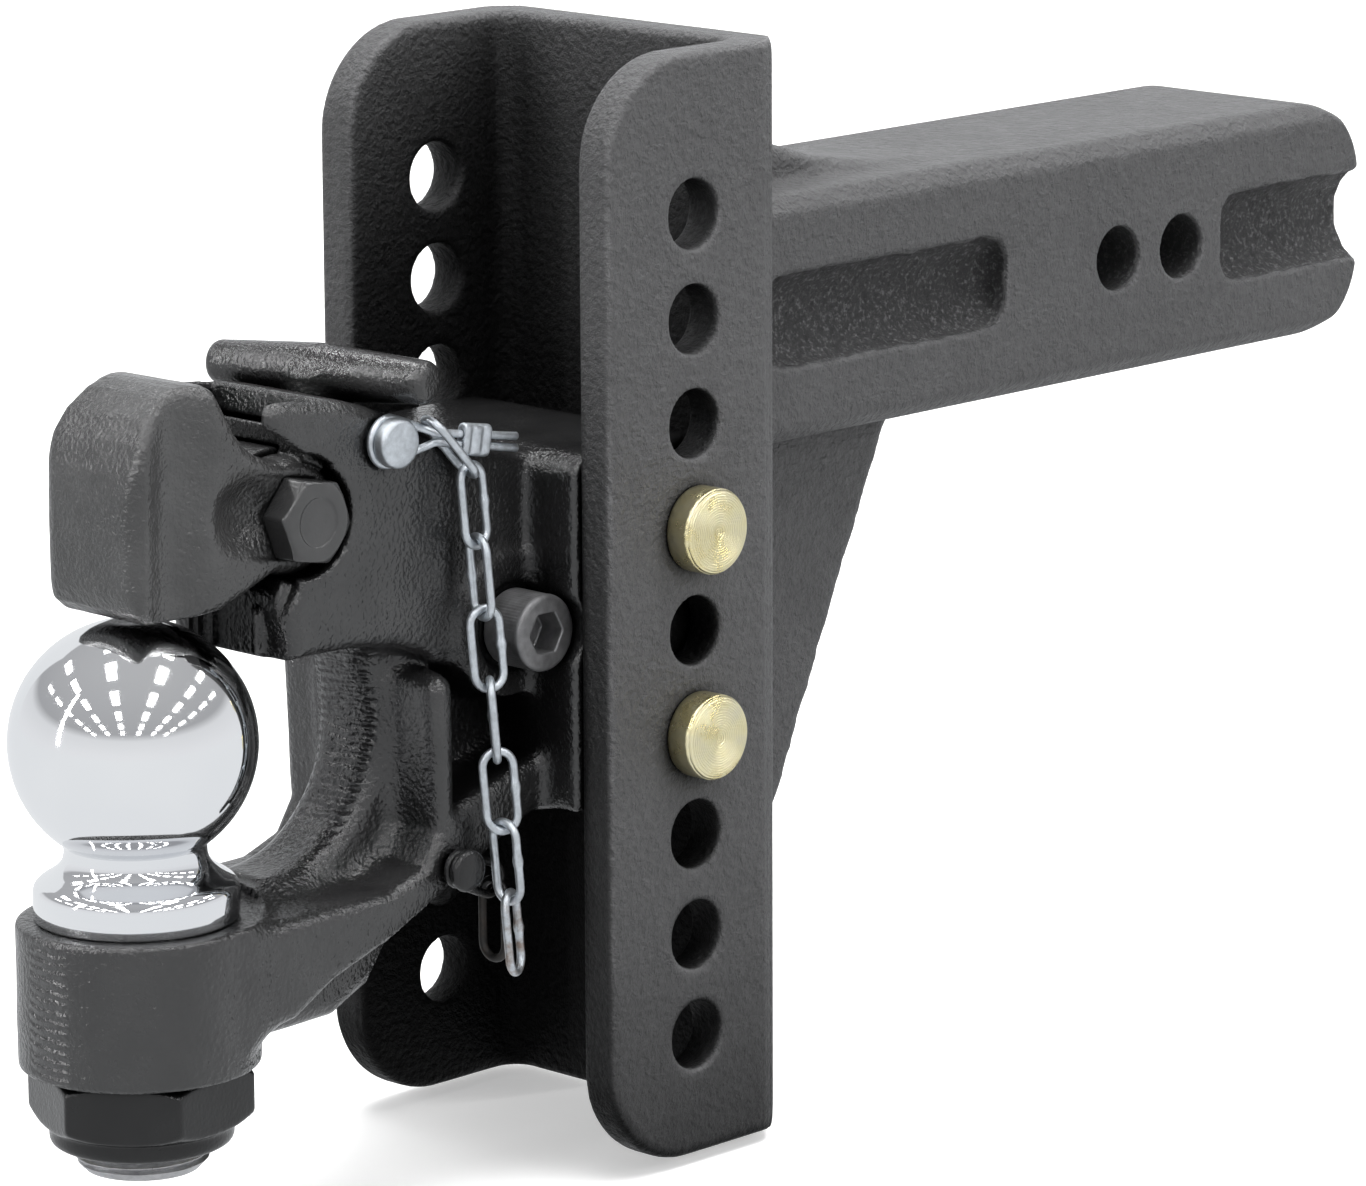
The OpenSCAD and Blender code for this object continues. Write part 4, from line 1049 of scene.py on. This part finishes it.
# ------------------------------------------------------------------ handle
def build_handle():
    """T-handle: a tapered bar on a notched round stem."""
    axes = grid((LOCK_X - 15, -33, 30), (LOCK_X + 15, 33, 75.2), 0.5)
    x, y, z = axes[0] - LOCK_X, axes[1], axes[2]
    beside_bar = x * math.cos(HANDLE_TURN) + y * math.sin(HANDLE_TURN)
    along_bar = -x * math.sin(HANDLE_TURN) + y * math.cos(HANDLE_TURN)
    bar_radius = 6.95 - 1.75 * np.minimum(np.abs(along_bar) / 31.0, 1) ** 1.1
    bar = meet(length(beside_bar, z - HANDLE_Z) - bar_radius, np.abs(along_bar + 0.9) - 30.7, 2.6)
    radius = length(x, y)
    stem = np.maximum(radius - 6.98, slab(z, 30.1, 66))
    flare = meet(radius - (6.6 + np.clip((66.2 - z) * 0.36, 0, 1.7)), slab(z, 61.7, 67.0), 0.8)
    body = join(join(bar, flare, 3.0), stem, 0.3)
    body = body + (lattice_noise(axes, 6.0, seed=41) + 1) * 0.05 * (z > 61)
    # slot for the safety pin, open downwards
    body = cut(body, np.maximum(np.abs(x) - 3.36, z - (SAFETY_Z + 3.36)))
    # half of the stem cut off below a shoulder, with a V at the shoulder
    shoulder_z = 43.1
    body = cut(body, np.maximum(x, z - shoulder_z), 0.2)
    notch = (np.abs(x + 4.9) + np.abs(z - shoulder_z) - 4.24) * 0.7071
    body = cut(body, notch, 0.2)
    detent = np.maximum(np.maximum(5.38 - x, np.abs(y) - 3.32),
                        slab(z, DETENT_Z - 13.3, DETENT_Z + 3.32))
    body = cut(body, detent)
    field_piece("t_handle", "lock_handle", body, axes, FINISH["handle"])


# ------------------------------------------------------------------ ball and nut
# neck under the ball and flange on the seat, (radius, z)
BALL_NECK = [
    (16.95, -35.6), (16.85, -36.6), (16.9, -37.6), (17.1, -38.6), (17.6, -39.7), (18.4, -40.7),
    (19.5, -41.7), (20.8, -42.6), (22.1, -43.4), (23.2, -44.2), (23.95, -45.1), (24.25, -46.1),
    (24.3, -47.0), (24.3, -52.2), (24.0, -52.8), (23.5, SEAT_TOP)]


def build_ball():
    ball_radius, flat_depth, neck_radius, shaft_radius = 29.34, 0.45, 17.2, 15.85
    sides, rings = 144, 84
    thread_top, thread_end, thread_pitch = -104.3, -113.7, 1.81
    thread_depth, crest, chamfer_z, chamfer_slope = 0.95, 0.12, -111.4, 0.93
    top_z = BALL_Z + ball_radius - flat_depth
    flat = math.sqrt(ball_radius ** 2 - (ball_radius - flat_depth) ** 2)
    profile = [(0, top_z), (flat * 0.6, top_z), (flat * 0.93, top_z), (flat, top_z - 0.02)]
    start = math.asin(flat / ball_radius)
    end = math.pi - math.asin(neck_radius / ball_radius)
    for i in range(1, 73):
        angle = start + (end - start) * i / 72
        profile.append((ball_radius * math.sin(angle), BALL_Z + ball_radius * math.cos(angle)))
    profile += BALL_NECK
    profile += [(shaft_radius, z) for z in (SEAT_TOP, -60, -88, thread_top)]
    points, faces = lathe(profile, sides)

    # helical thread that fades in from the plain shaft
    previous = list(range(len(points) - sides, len(points)))
    thread = []
    for j in range(1, rings + 1):
        z = thread_top + (thread_end - thread_top) * j / rings
        limit = shaft_radius
        if z <= chamfer_z:
            limit -= (chamfer_z - z) * chamfer_slope
        fade = min(1.0, (thread_top - z) / 0.8)
        for i in range(sides):
            turn = i / sides
            ridge = abs((z / thread_pitch - turn) % 1.0 - 0.5) * 2
            depth = thread_depth * max(0, ridge - crest) / (1 - crest) * fade
            radius = min(shaft_radius - depth, limit)
            thread.append((radius * math.cos(2 * math.pi * turn),
                           radius * math.sin(2 * math.pi * turn), z))
        first = len(points) + (j - 1) * sides
        current = list(range(first, first + sides))
        faces += bridge(previous, current)
        previous = current
    points = np.concatenate([points, np.array(thread)])

    # end face with a narrow rim
    first = len(points)
    rim = [(points[i][0] * 0.965, points[i][1] * 0.965, thread_end) for i in previous]
    points = np.concatenate([points, np.array(rim), np.array([[0, 0, thread_end]])])
    current = list(range(first, first + sides))
    for i, quad in enumerate(bridge(previous, current)):
        faces += [quad, (current[i], current[(i + 1) % sides], first + sides)]
    faces = [tuple(reversed(face)) for face in faces]
    obj = piece("ball_and_stud", "tow_ball", points + np.array([BALL_X, 0, 0]), faces,
                FINISH["chrome"], sharp=40)
    second_material(obj, FINISH["steel"], below=-101)


def build_nut():
    """Hexagon under the ball seat with a round collar below it."""
    hex_bottom, collar_bottom = -102.6, -107.6
    axes = x, y, z = grid((-28, -28, -107.7), (28, 28, -88.6), 0.55)
    radius = length(x, y)
    body = meet(hexagon(x, y, 47.11, 38), slab(z, hex_bottom, SEAT_BOTTOM), 0.7)
    body = meet(body, (radius - 23.4 - (z - hex_bottom) * 1.5) * 0.55, 0.8)
    body = meet(body, (radius - 24.2 - (SEAT_BOTTOM - z) * 1.7) * 0.5, 0.6)
    collar = meet(radius - 21.9, slab(z, collar_bottom, -99), 2.6)
    body = join(body, collar, 1.2)
    body = cut(body, radius - 15.95, 0.6)
    body = cut(body, np.maximum(radius - 18.62, slab(z, -108.5, -103.6)), 0.5)
    field_piece("ball_nut_hex", "ball_nut", body, axes, FINISH["nut"], offset=(BALL_X, 0, 0),
                z=(collar_bottom, SEAT_BOTTOM))


# ------------------------------------------------------------------ pins and clips
# head of a hitch pin, (radius, y out from the channel's -Y face)
PIN_HEAD = [
    (0, 7.45), (1.3, 7.5), (1.9, 7.75), (2.3, 7.87), (8.6, 7.88), (9.3, 7.8), (10.0, 7.4),
    (10.42, 6.8), (10.5, 6.0), (10.5, 0.7), (10.3, 0.2), (9.9, 0.02), (7.94, 0.02)]
# rounded end of a hitch pin, (radius, y back from its end)
PIN_TIP = [(7.94, 2.0), (7.7, 1.2), (7.1, 0.5), (6.3, 0.1), (5.4, 0), (0, 0)]


def build_hitch_pin(node, z, material):
    profile = [(radius, -CHANNEL_HALF - out) for radius, out in PIN_HEAD]
    profile += [(7.94, y) for y in (-30, 0, 30)]
    profile += [(radius, PIN_END - back) for radius, back in PIN_TIP]
    points, faces = lathe(profile, 96, along_y=True)
    # faces start wound inwards, which can affect the order of the cut's points
    obj = piece(node + "_turned", node, points + np.array([0, 0, z]),
                [tuple(reversed(face)) for face in faces], material, sharp=50)
    recalc_normals(obj)
    # cross hole for the clip, along X
    points, faces = lathe([(0, -20), (2.1, -20), (2.1, 20), (0, 20)], 32)
    points = np.stack([points[:, 2], points[:, 1] + CLIP_Y, points[:, 0] + z], 1)
    cutter = new_mesh("cross_hole", points, faces)
    recalc_normals(cutter)
    cut_away(obj, cutter)
    smooth_faces(obj.data)
    obj.data.set_sharp_from_angle(angle=math.radians(45))


def build_clip(node, z):
    """Wire clip: a straight leg, a round bend and a wavy leg back."""
    leg_x, bend = -11, 4.1
    stations = [(12.3, 0, 0), (6, 0, 0), (0, 0, 0), (-6, 0, 0), (leg_x, 0, 0)]
    for i in range(1, 10):
        angle = math.radians(-90 - i * 22)
        stations.append((leg_x + bend * math.cos(angle), bend + bend * math.sin(angle), 0))
    stations += [(-8, 8.6, 0), (-4.4, 8.9, 0), (0, 8.7, 0), (4.4, 8.5, 0), (7.6, 8.9, 0),
                 (9.5, 9.9, 0)]
    points, faces = tube(smooth_path(stations, 5), 1.36, up=(0, 0, 1))
    piece(node + "_wire", node, points + np.array([0, CLIP_Y, z]), faces, FINISH["clip"])


def turned_piece(name, node, profile, sides, centre, material):
    points, faces = lathe(profile, sides, along_y=True)
    recalc_normals(piece(name, node, points + np.array(centre), faces, material, sharp=50))


# (radius, y)
SAFETY_PIN = [
    (0, -28.28), (4.9, -28.26), (5.5, -28.05), (5.9, -27.55), (6.0, -26.9), (6.0, -25.1),
    (5.8, -24.6), (5.3, -24.42), (4.2, -24.4), (4.2, -22.1), (3.9, -22.02), (3.17, -22.0),
    (3.17, -10), (3.17, 0), (3.17, 10), (3.17, 25.6), (2.95, 26.6), (2.5, 27.3), (2.0, 27.58),
    (0, 27.6)]
# (radius, y from the stud's place)
CHAIN_STUD = [
    (0, -7.18), (2.0, -7.15), (3.6, -7.0), (4.6, -6.7), (5.1, -6.2), (5.2, -5.6), (5.15, -4.8),
    (4.9, -4.45), (2.3, -4.4), (2.3, 10.9), (0, 11)]


# ------------------------------------------------------------------ tether
def tether_half(side):
    """Half of the wire loop, from behind the safety pin's neck towards +X."""
    path = []
    for i in range(10):
        angle = math.radians(180 - side * i * 11)
        path.append((LOCK_X + 5.6 * math.cos(angle), TETHER_Y, SAFETY_Z + 5.6 * math.sin(angle)))
    for k in range(1, 7):
        t = k / 6
        path.append((LOCK_X + 3.2 + 9.8 * t, TETHER_Y - 2.6 * t * t,
                     SAFETY_Z - 0.6 * t + side * (4.9 * (1 - t) + 1.15 * t)))
    for k in range(1, 6):
        t = k / 5
        path.append((LOCK_X + 13 + 25 * t, TETHER_Y - 2.6 - 1.6 * t,
                     SAFETY_Z - 0.6 - 4.4 * t + side * (1.15 + 0.3 * t)))
    return path


def build_tether():
    stations = tether_half(1)[::-1] + tether_half(-1)[1:]
    points, faces = tube(smooth_path(stations, 3), 0.98, up=(0, 1, 0))
    recalc_normals(piece("tether_loop", "tether_wire", points, faces, FINISH["zinc"]))


def build_ferrule():
    """Flat-sided sleeve round both wires, made along its own X and then turned."""
    axes = x, y, z = grid((-0.2, -2, -4.2), (8.8, 2, 4.2), 0.2)
    body = length(np.maximum(np.abs(z) - 2.3, 0), y) - 1.66
    body = meet(body, slab(x, 0.03, 8.57), 0.7)
    for press_x in (2.6, 6.0):
        body = cut(body, circle(x, np.abs(y), press_x, 2.6, 1.15), 0.4)
    for side in (-1, 1):
        body = cut(body, circle(y, z, 0, side * 1.2, 1.13))
    points, faces = surface_nets(body, axes)
    turn = (Matrix.Rotation(math.radians(-3.7), 4, "Z")
            @ Matrix.Rotation(math.radians(9.5), 4, "Y")).to_3x3()
    place = np.array([LOCK_X + 20.6, TETHER_Y - 3.1, SAFETY_Z - 1.95])
    piece("ferrule_sleeve", "wire_ferrule", points @ np.array(turn).T + place, faces,
          FINISH["zinc"])


# ------------------------------------------------------------------ chain
LINK_HALF, LINK_BEND, LINK_WIRE = 5.95, 3.8, 1.05   # straight half, bend radius, wire radius
LINK_END = LINK_HALF + LINK_BEND                    # centre to the wire's axis at the end
LINK_PITCH = 2 * LINK_END - 2 * LINK_WIRE - 0.08


def unit(vector):
    vector = np.array(vector, float)
    return vector / np.linalg.norm(vector)


def link_side(turn, along):
    """Sideways direction of a link, from degrees about Z, square to its length."""
    side = np.array([math.cos(math.radians(turn)), math.sin(math.radians(turn)), 0.0])
    return unit(side - along * (side @ along))


def link(centre, along, side, weld=True):
    """Chain link; weld swells the wire in the middle of one straight."""
    path = []
    for end in (1, -1):
        for i in range(15):
            angle = math.radians((-90 if end > 0 else 90) + 180 * i / 14)
            path.append(centre + end * LINK_HALF * along
                        + LINK_BEND * (math.cos(angle) * along + math.sin(angle) * side))
        for t in np.linspace(0, 1, 16)[1:-1]:
            start = centre + end * LINK_HALF * along + end * LINK_BEND * side
            stop = centre - end * LINK_HALF * along + end * LINK_BEND * side
            path.append(start * (1 - t) + stop * t)
    bulge = 0.30 if weld else 0
    factors = [0.99 + bulge * math.exp(-((i - 22.0) / 1.5) ** 2) for i in range(len(path))]
    return tube(path, LINK_WIRE, up=np.cross(along, side), closed=True, factors=factors)


def build_chain():
    """A slanting link on the tether and seven hanging ones, then two on the stud."""
    slant = unit([0.66, -0.05, -0.75])
    hang = unit([0.022, -0.092, -1])
    top = np.array([LOCK_X + 11.3, -26.9, SAFETY_Z + 2.6])
    centre = top + slant * (LINK_END - LINK_WIRE - 1.0 - 0.1)
    links = [link(centre, slant, link_side(75, slant))]
    hung = (centre + slant * LINK_END + unit(-0.1 * slant - hang) * (2 * LINK_WIRE + 0.12)
            + hang * LINK_END)
    for i, turn in enumerate((4, 78, -20, 48, -30, -88, 25)):
        links.append(link(hung + hang * LINK_PITCH * i, hang, link_side(turn, hang)))
    recalc_normals(piece("chain_hanging", "safety_chain", *merge(links), FINISH["chain"]))

    slant = unit([14, 0.8, -6])
    centre = (np.array([STUD[0], STUD[1] - 2.1, STUD[2]])
              + slant * (LINK_END - LINK_WIRE - 2.35))
    end = centre + slant * LINK_END
    lower = (end + unit([-slant[0], 0, 0.4]) * (2 * LINK_WIRE + 0.15)
             + np.array([0, 0, -LINK_END]))
    links = [link(centre, slant, unit(np.cross(slant, [0, 1, 0])), weld=False),
             link(lower, np.array([0, 0, -1.0]), np.array([0, 1.0, 0]), weld=False)]
    obj = piece("chain_anchored", "chain_anchor_link", *merge(links), FINISH["nut"])
    recalc_normals(obj)
    second_material(obj, FINISH["rusty"], below=STUD[2] - 8.2)


# ------------------------------------------------------------------ cap screw
def build_screw():
    """Socket cap screw along Y with a straight knurl round its head."""
    seat = SCREW_SEAT_Y
    axes = x, y, z = grid((-10, -35.2, -10), (10, 7.7, 10), 0.33)
    radius = length(x, z)
    head = meet(radius - 9.45, slab(y, seat - 12.65, seat), 1.5)
    knurl = (0.10 * (1 - np.cos(np.arctan2(z, x) * 72)) * np.clip(radius - 8.6, 0, 1)
             * (slab(y, seat - 10.9, seat - 1.2) < 0))
    shaft = np.maximum(radius - 6.34, slab(y, seat - 1, 7.6))
    body = np.minimum(head + knurl, shaft)
    body = cut(body, meet(hexagon(x, z, 9.6, 30), y - (seat - 5.5), 0.3), 0.4)
    field_piece("cap_screw", "neck_cap_screw", body, axes, FINISH["oxide"],
                offset=(SCREW_X, 0, SCREW_Z))


build_channel()
build_shank()
build_gusset()
build_welds()
build_hook()
build_latch()
build_bolt()
build_pivot_nut()
build_handle()
build_ball()
build_nut()
build_hitch_pin("hitch_pin_upper", HOLE_PITCH, FINISH["upper pin"])
build_hitch_pin("hitch_pin_lower", -HOLE_PITCH, FINISH["lower pin"])
build_clip("hitch_clip_upper", HOLE_PITCH)
build_clip("hitch_clip_lower", -HOLE_PITCH)
turned_piece("safety_pin_turned", "safety_pin", SAFETY_PIN, 72, (LOCK_X, 0, SAFETY_Z),
             FINISH["zinc"])
build_tether()
build_ferrule()
build_chain()
turned_piece("stud_domed", "chain_stud", CHAIN_STUD, 56, STUD, FINISH["nut"])
build_screw()

# CAD nodes that stay, with their finishes
KEPT = {"ball_nut_insert": "nylon", "latch_pivot_washer": "steel",
        "lock_detent_ball": "steel", "lock_spring": "steel"}
for name, finish in KEPT.items():
    # the node's entry may be an object or a plain record, so look by name first
    entry = frame["nodes"][name]
    obj = bpy.data.objects.get(name) or (None if isinstance(entry, dict) else entry)
    if obj is not None:
        if not obj.material_slots:
            obj.data.materials.append(FINISH[finish])
        for slot in obj.material_slots:
            slot.material = FINISH[finish]

# ------------------------------------------------------------------ stage, metres
AWAY = np.array([0.7124, 0.7018, 0.0])          # level, away from the camera
SIDEWAYS = np.array([0.7018, -0.7124, 0.0])     # level, across the view


def stage_mesh(name, points, faces):
    mesh = bpy.data.meshes.new(name)
    mesh.from_pydata(points, [], faces)
    mesh.update()
    obj = bpy.data.objects.new(name, mesh)
    bpy.context.collection.objects.link(obj)
    return obj


def floor_paper():
    """Pale to the camera, darker to bounced light and a plain glow in reflections."""
    s = Shader("floor_paper")
    rays = s.add("ShaderNodeLightPath").outputs
    pale = s.mix(s.remap(s.noise(scale=8, detail=2), (0.3, 0.7)),
                 (0.80, 0.80, 0.80), (0.83, 0.83, 0.83))
    s.finish(color=s.mix(rays["Is Diffuse Ray"], pale, (0.30, 0.30, 0.30)),
             rough=0.9, specular=0.0)
    lift = s.math("ADD", s.times(rays["Is Camera Ray"], 0.42), 0.0)
    seen = s.filled("ShaderNodeAddShader", {
        0: s.principled.outputs[0], 1: s.emission((1, 1, 1), lift)}).outputs[0]
    mirrored = s.emission((0.96, 0.98, 1), 0.90)
    return s.surface(s.mix_shader(rays["Is Glossy Ray"], seen, mirrored))


def stage_floor():
    """Swept floor that curves up behind the object."""
    floor_z = (CHANNEL_BOTTOM + HEAD_Z) * MM - 0.0025
    bend_start, bend_radius = 1.8, 1.2
    # (distance away, height)
    profile = [(-2.2, 0), (-1.0, 0), (0, 0), (1.0, 0), (bend_start, 0)]
    profile += [(bend_start + bend_radius * math.sin(angle),
                 bend_radius - bend_radius * math.cos(angle))
                for angle in np.linspace(0.1, math.pi / 2, 14)]
    profile.append((3.0, 3.2))
    points, faces = [], []
    rows, count = np.linspace(-3.5, 3.5, 30), len(profile)
    for across in rows:
        for away, height in profile:
            x, y, _ = SIDEWAYS * across + AWAY * away
            points.append((x, y, floor_z + height))
    for i in range(len(rows) - 1):
        for j in range(count - 1):
            first, second = i * count + j, (i + 1) * count + j
            faces.append((first, second, second + 1, first + 1))
    obj = stage_mesh("floor_sweep", points, faces)
    smooth_faces(obj.data)
    obj.data.materials.append(floor_paper())


def ceiling_panels():
    """Six rows of panels overhead, seen only in reflections."""
    half_width, half_length, height = 0.17, 0.42, 2.35
    points, faces = [], []
    for across in (-4.3, -2.5, -0.85, 0.85, 2.5, 4.3):
        for row in range(6):
            back = -0.9 + row * 1.45
            for side, end in ((-1, -1), (1, -1), (1, 1), (-1, 1)):
                x, y, _ = (-AWAY * (back + end * half_length)
                           + SIDEWAYS * (across + side * half_width))
                points.append((x, y, height))
            last = len(points)
            faces.append((last - 1, last - 2, last - 3, last - 4))
    obj = stage_mesh("ceiling_panels", points, faces)
    s = Shader("panel_light")
    rays = s.add("ShaderNodeLightPath").outputs
    glow = s.times(rays["Is Glossy Ray"], 13.0)
    obj.data.materials.append(s.surface(s.emission((1, 1, 1), glow)))


def area_light(name, place, size, energy, size_y=None, glossy=False):
    """White area light aimed at the head."""
    light = bpy.data.lights.new(name, "AREA")
    light.energy = energy
    light.size = size
    light.color = (1, 1, 1)
    if size_y:
        light.shape = "RECTANGLE"
        light.size_y = size_y
    obj = bpy.data.objects.new(name, light)
    bpy.context.collection.objects.link(obj)
    obj.location = place
    aim = Vector((-0.13, 0.0, -0.04)) - Vector(place)
    obj.rotation_euler = aim.to_track_quat("-Z", "Y").to_euler()
    obj.visible_glossy = glossy


def studio_world():
    """Faint light on surfaces, a banded sky in reflections, white to the camera."""
    scene = bpy.context.scene
    # the scene may come with a world or without one
    world = bpy.data.worlds.new("studio") if scene.world is None else scene.world
    scene.world = world
    world.use_nodes = True
    g = Graph(world.node_tree)

    def background(color, strength):
        return g.filled("ShaderNodeBackground", {0: color, 1: strength}).outputs[0]

    direction = g.add("ShaderNodeTexCoord").outputs["Generated"]
    height = g.filled("ShaderNodeSeparateXYZ", {0: direction}).outputs[2]
    sky = g.ramp(height, [(0.0, (0.86, 0.87, 0.89)), (0.24, (0.78, 0.79, 0.81)),
                          (0.34, (0.42, 0.425, 0.44)), (1.0, (0.50, 0.505, 0.52))])
    rays = g.add("ShaderNodeLightPath").outputs
    lit = g.mix_shader(rays["Is Glossy Ray"], background((1, 1, 1), strength=0.10),
                       background(sky, strength=1.0))
    seen = g.mix_shader(rays["Is Camera Ray"], lit, background((1, 1, 1), strength=1.0))
    g.filled("ShaderNodeOutputWorld", {0: seen})


def place_camera():
    camera = bpy.data.cameras.new("cam")
    obj = bpy.data.objects.new("cam", camera)
    bpy.context.collection.objects.link(obj)
    camera.sensor_width = 36
    camera.lens = 176.82
    camera.shift_x = 0.06356
    camera.shift_y = 0.07748
    camera.clip_start = 0.05
    camera.clip_end = 20
    forward = Vector((0.6932041, 0.68295763, -0.23029752))
    right = Vector((0.70063661, -0.71348464, -0.00692848))
    turn = Matrix((right, right.cross(forward), -forward)).transposed()
    obj.matrix_world = Matrix.Translation((-1.32065, -1.14126, 0.29058)) @ turn.to_4x4()
    bpy.context.scene.camera = obj


stage_floor()
ceiling_panels()
area_light("top", place=(0.0, -0.1, 1.7), size=2.0, energy=84)
area_light("front", place=(0.35, -2.0, 0.55), size=1.5, energy=27)
area_light("left", place=(-1.9, 0.1, 0.9), size=1.2, energy=9)
area_light("back", place=(1.6, 1.4, 1.0), size=1.2, energy=22)
area_light("left_strip", place=(-1.72, 0.62, 0.62), size=0.075, size_y=1.25, energy=7.5,
           glossy=True)
studio_world()
place_camera()
bpy.context.scene.view_settings.view_transform = "Standard"
bpy.context.scene.view_settings.look = "None"

bpy.context.view_layer.update()
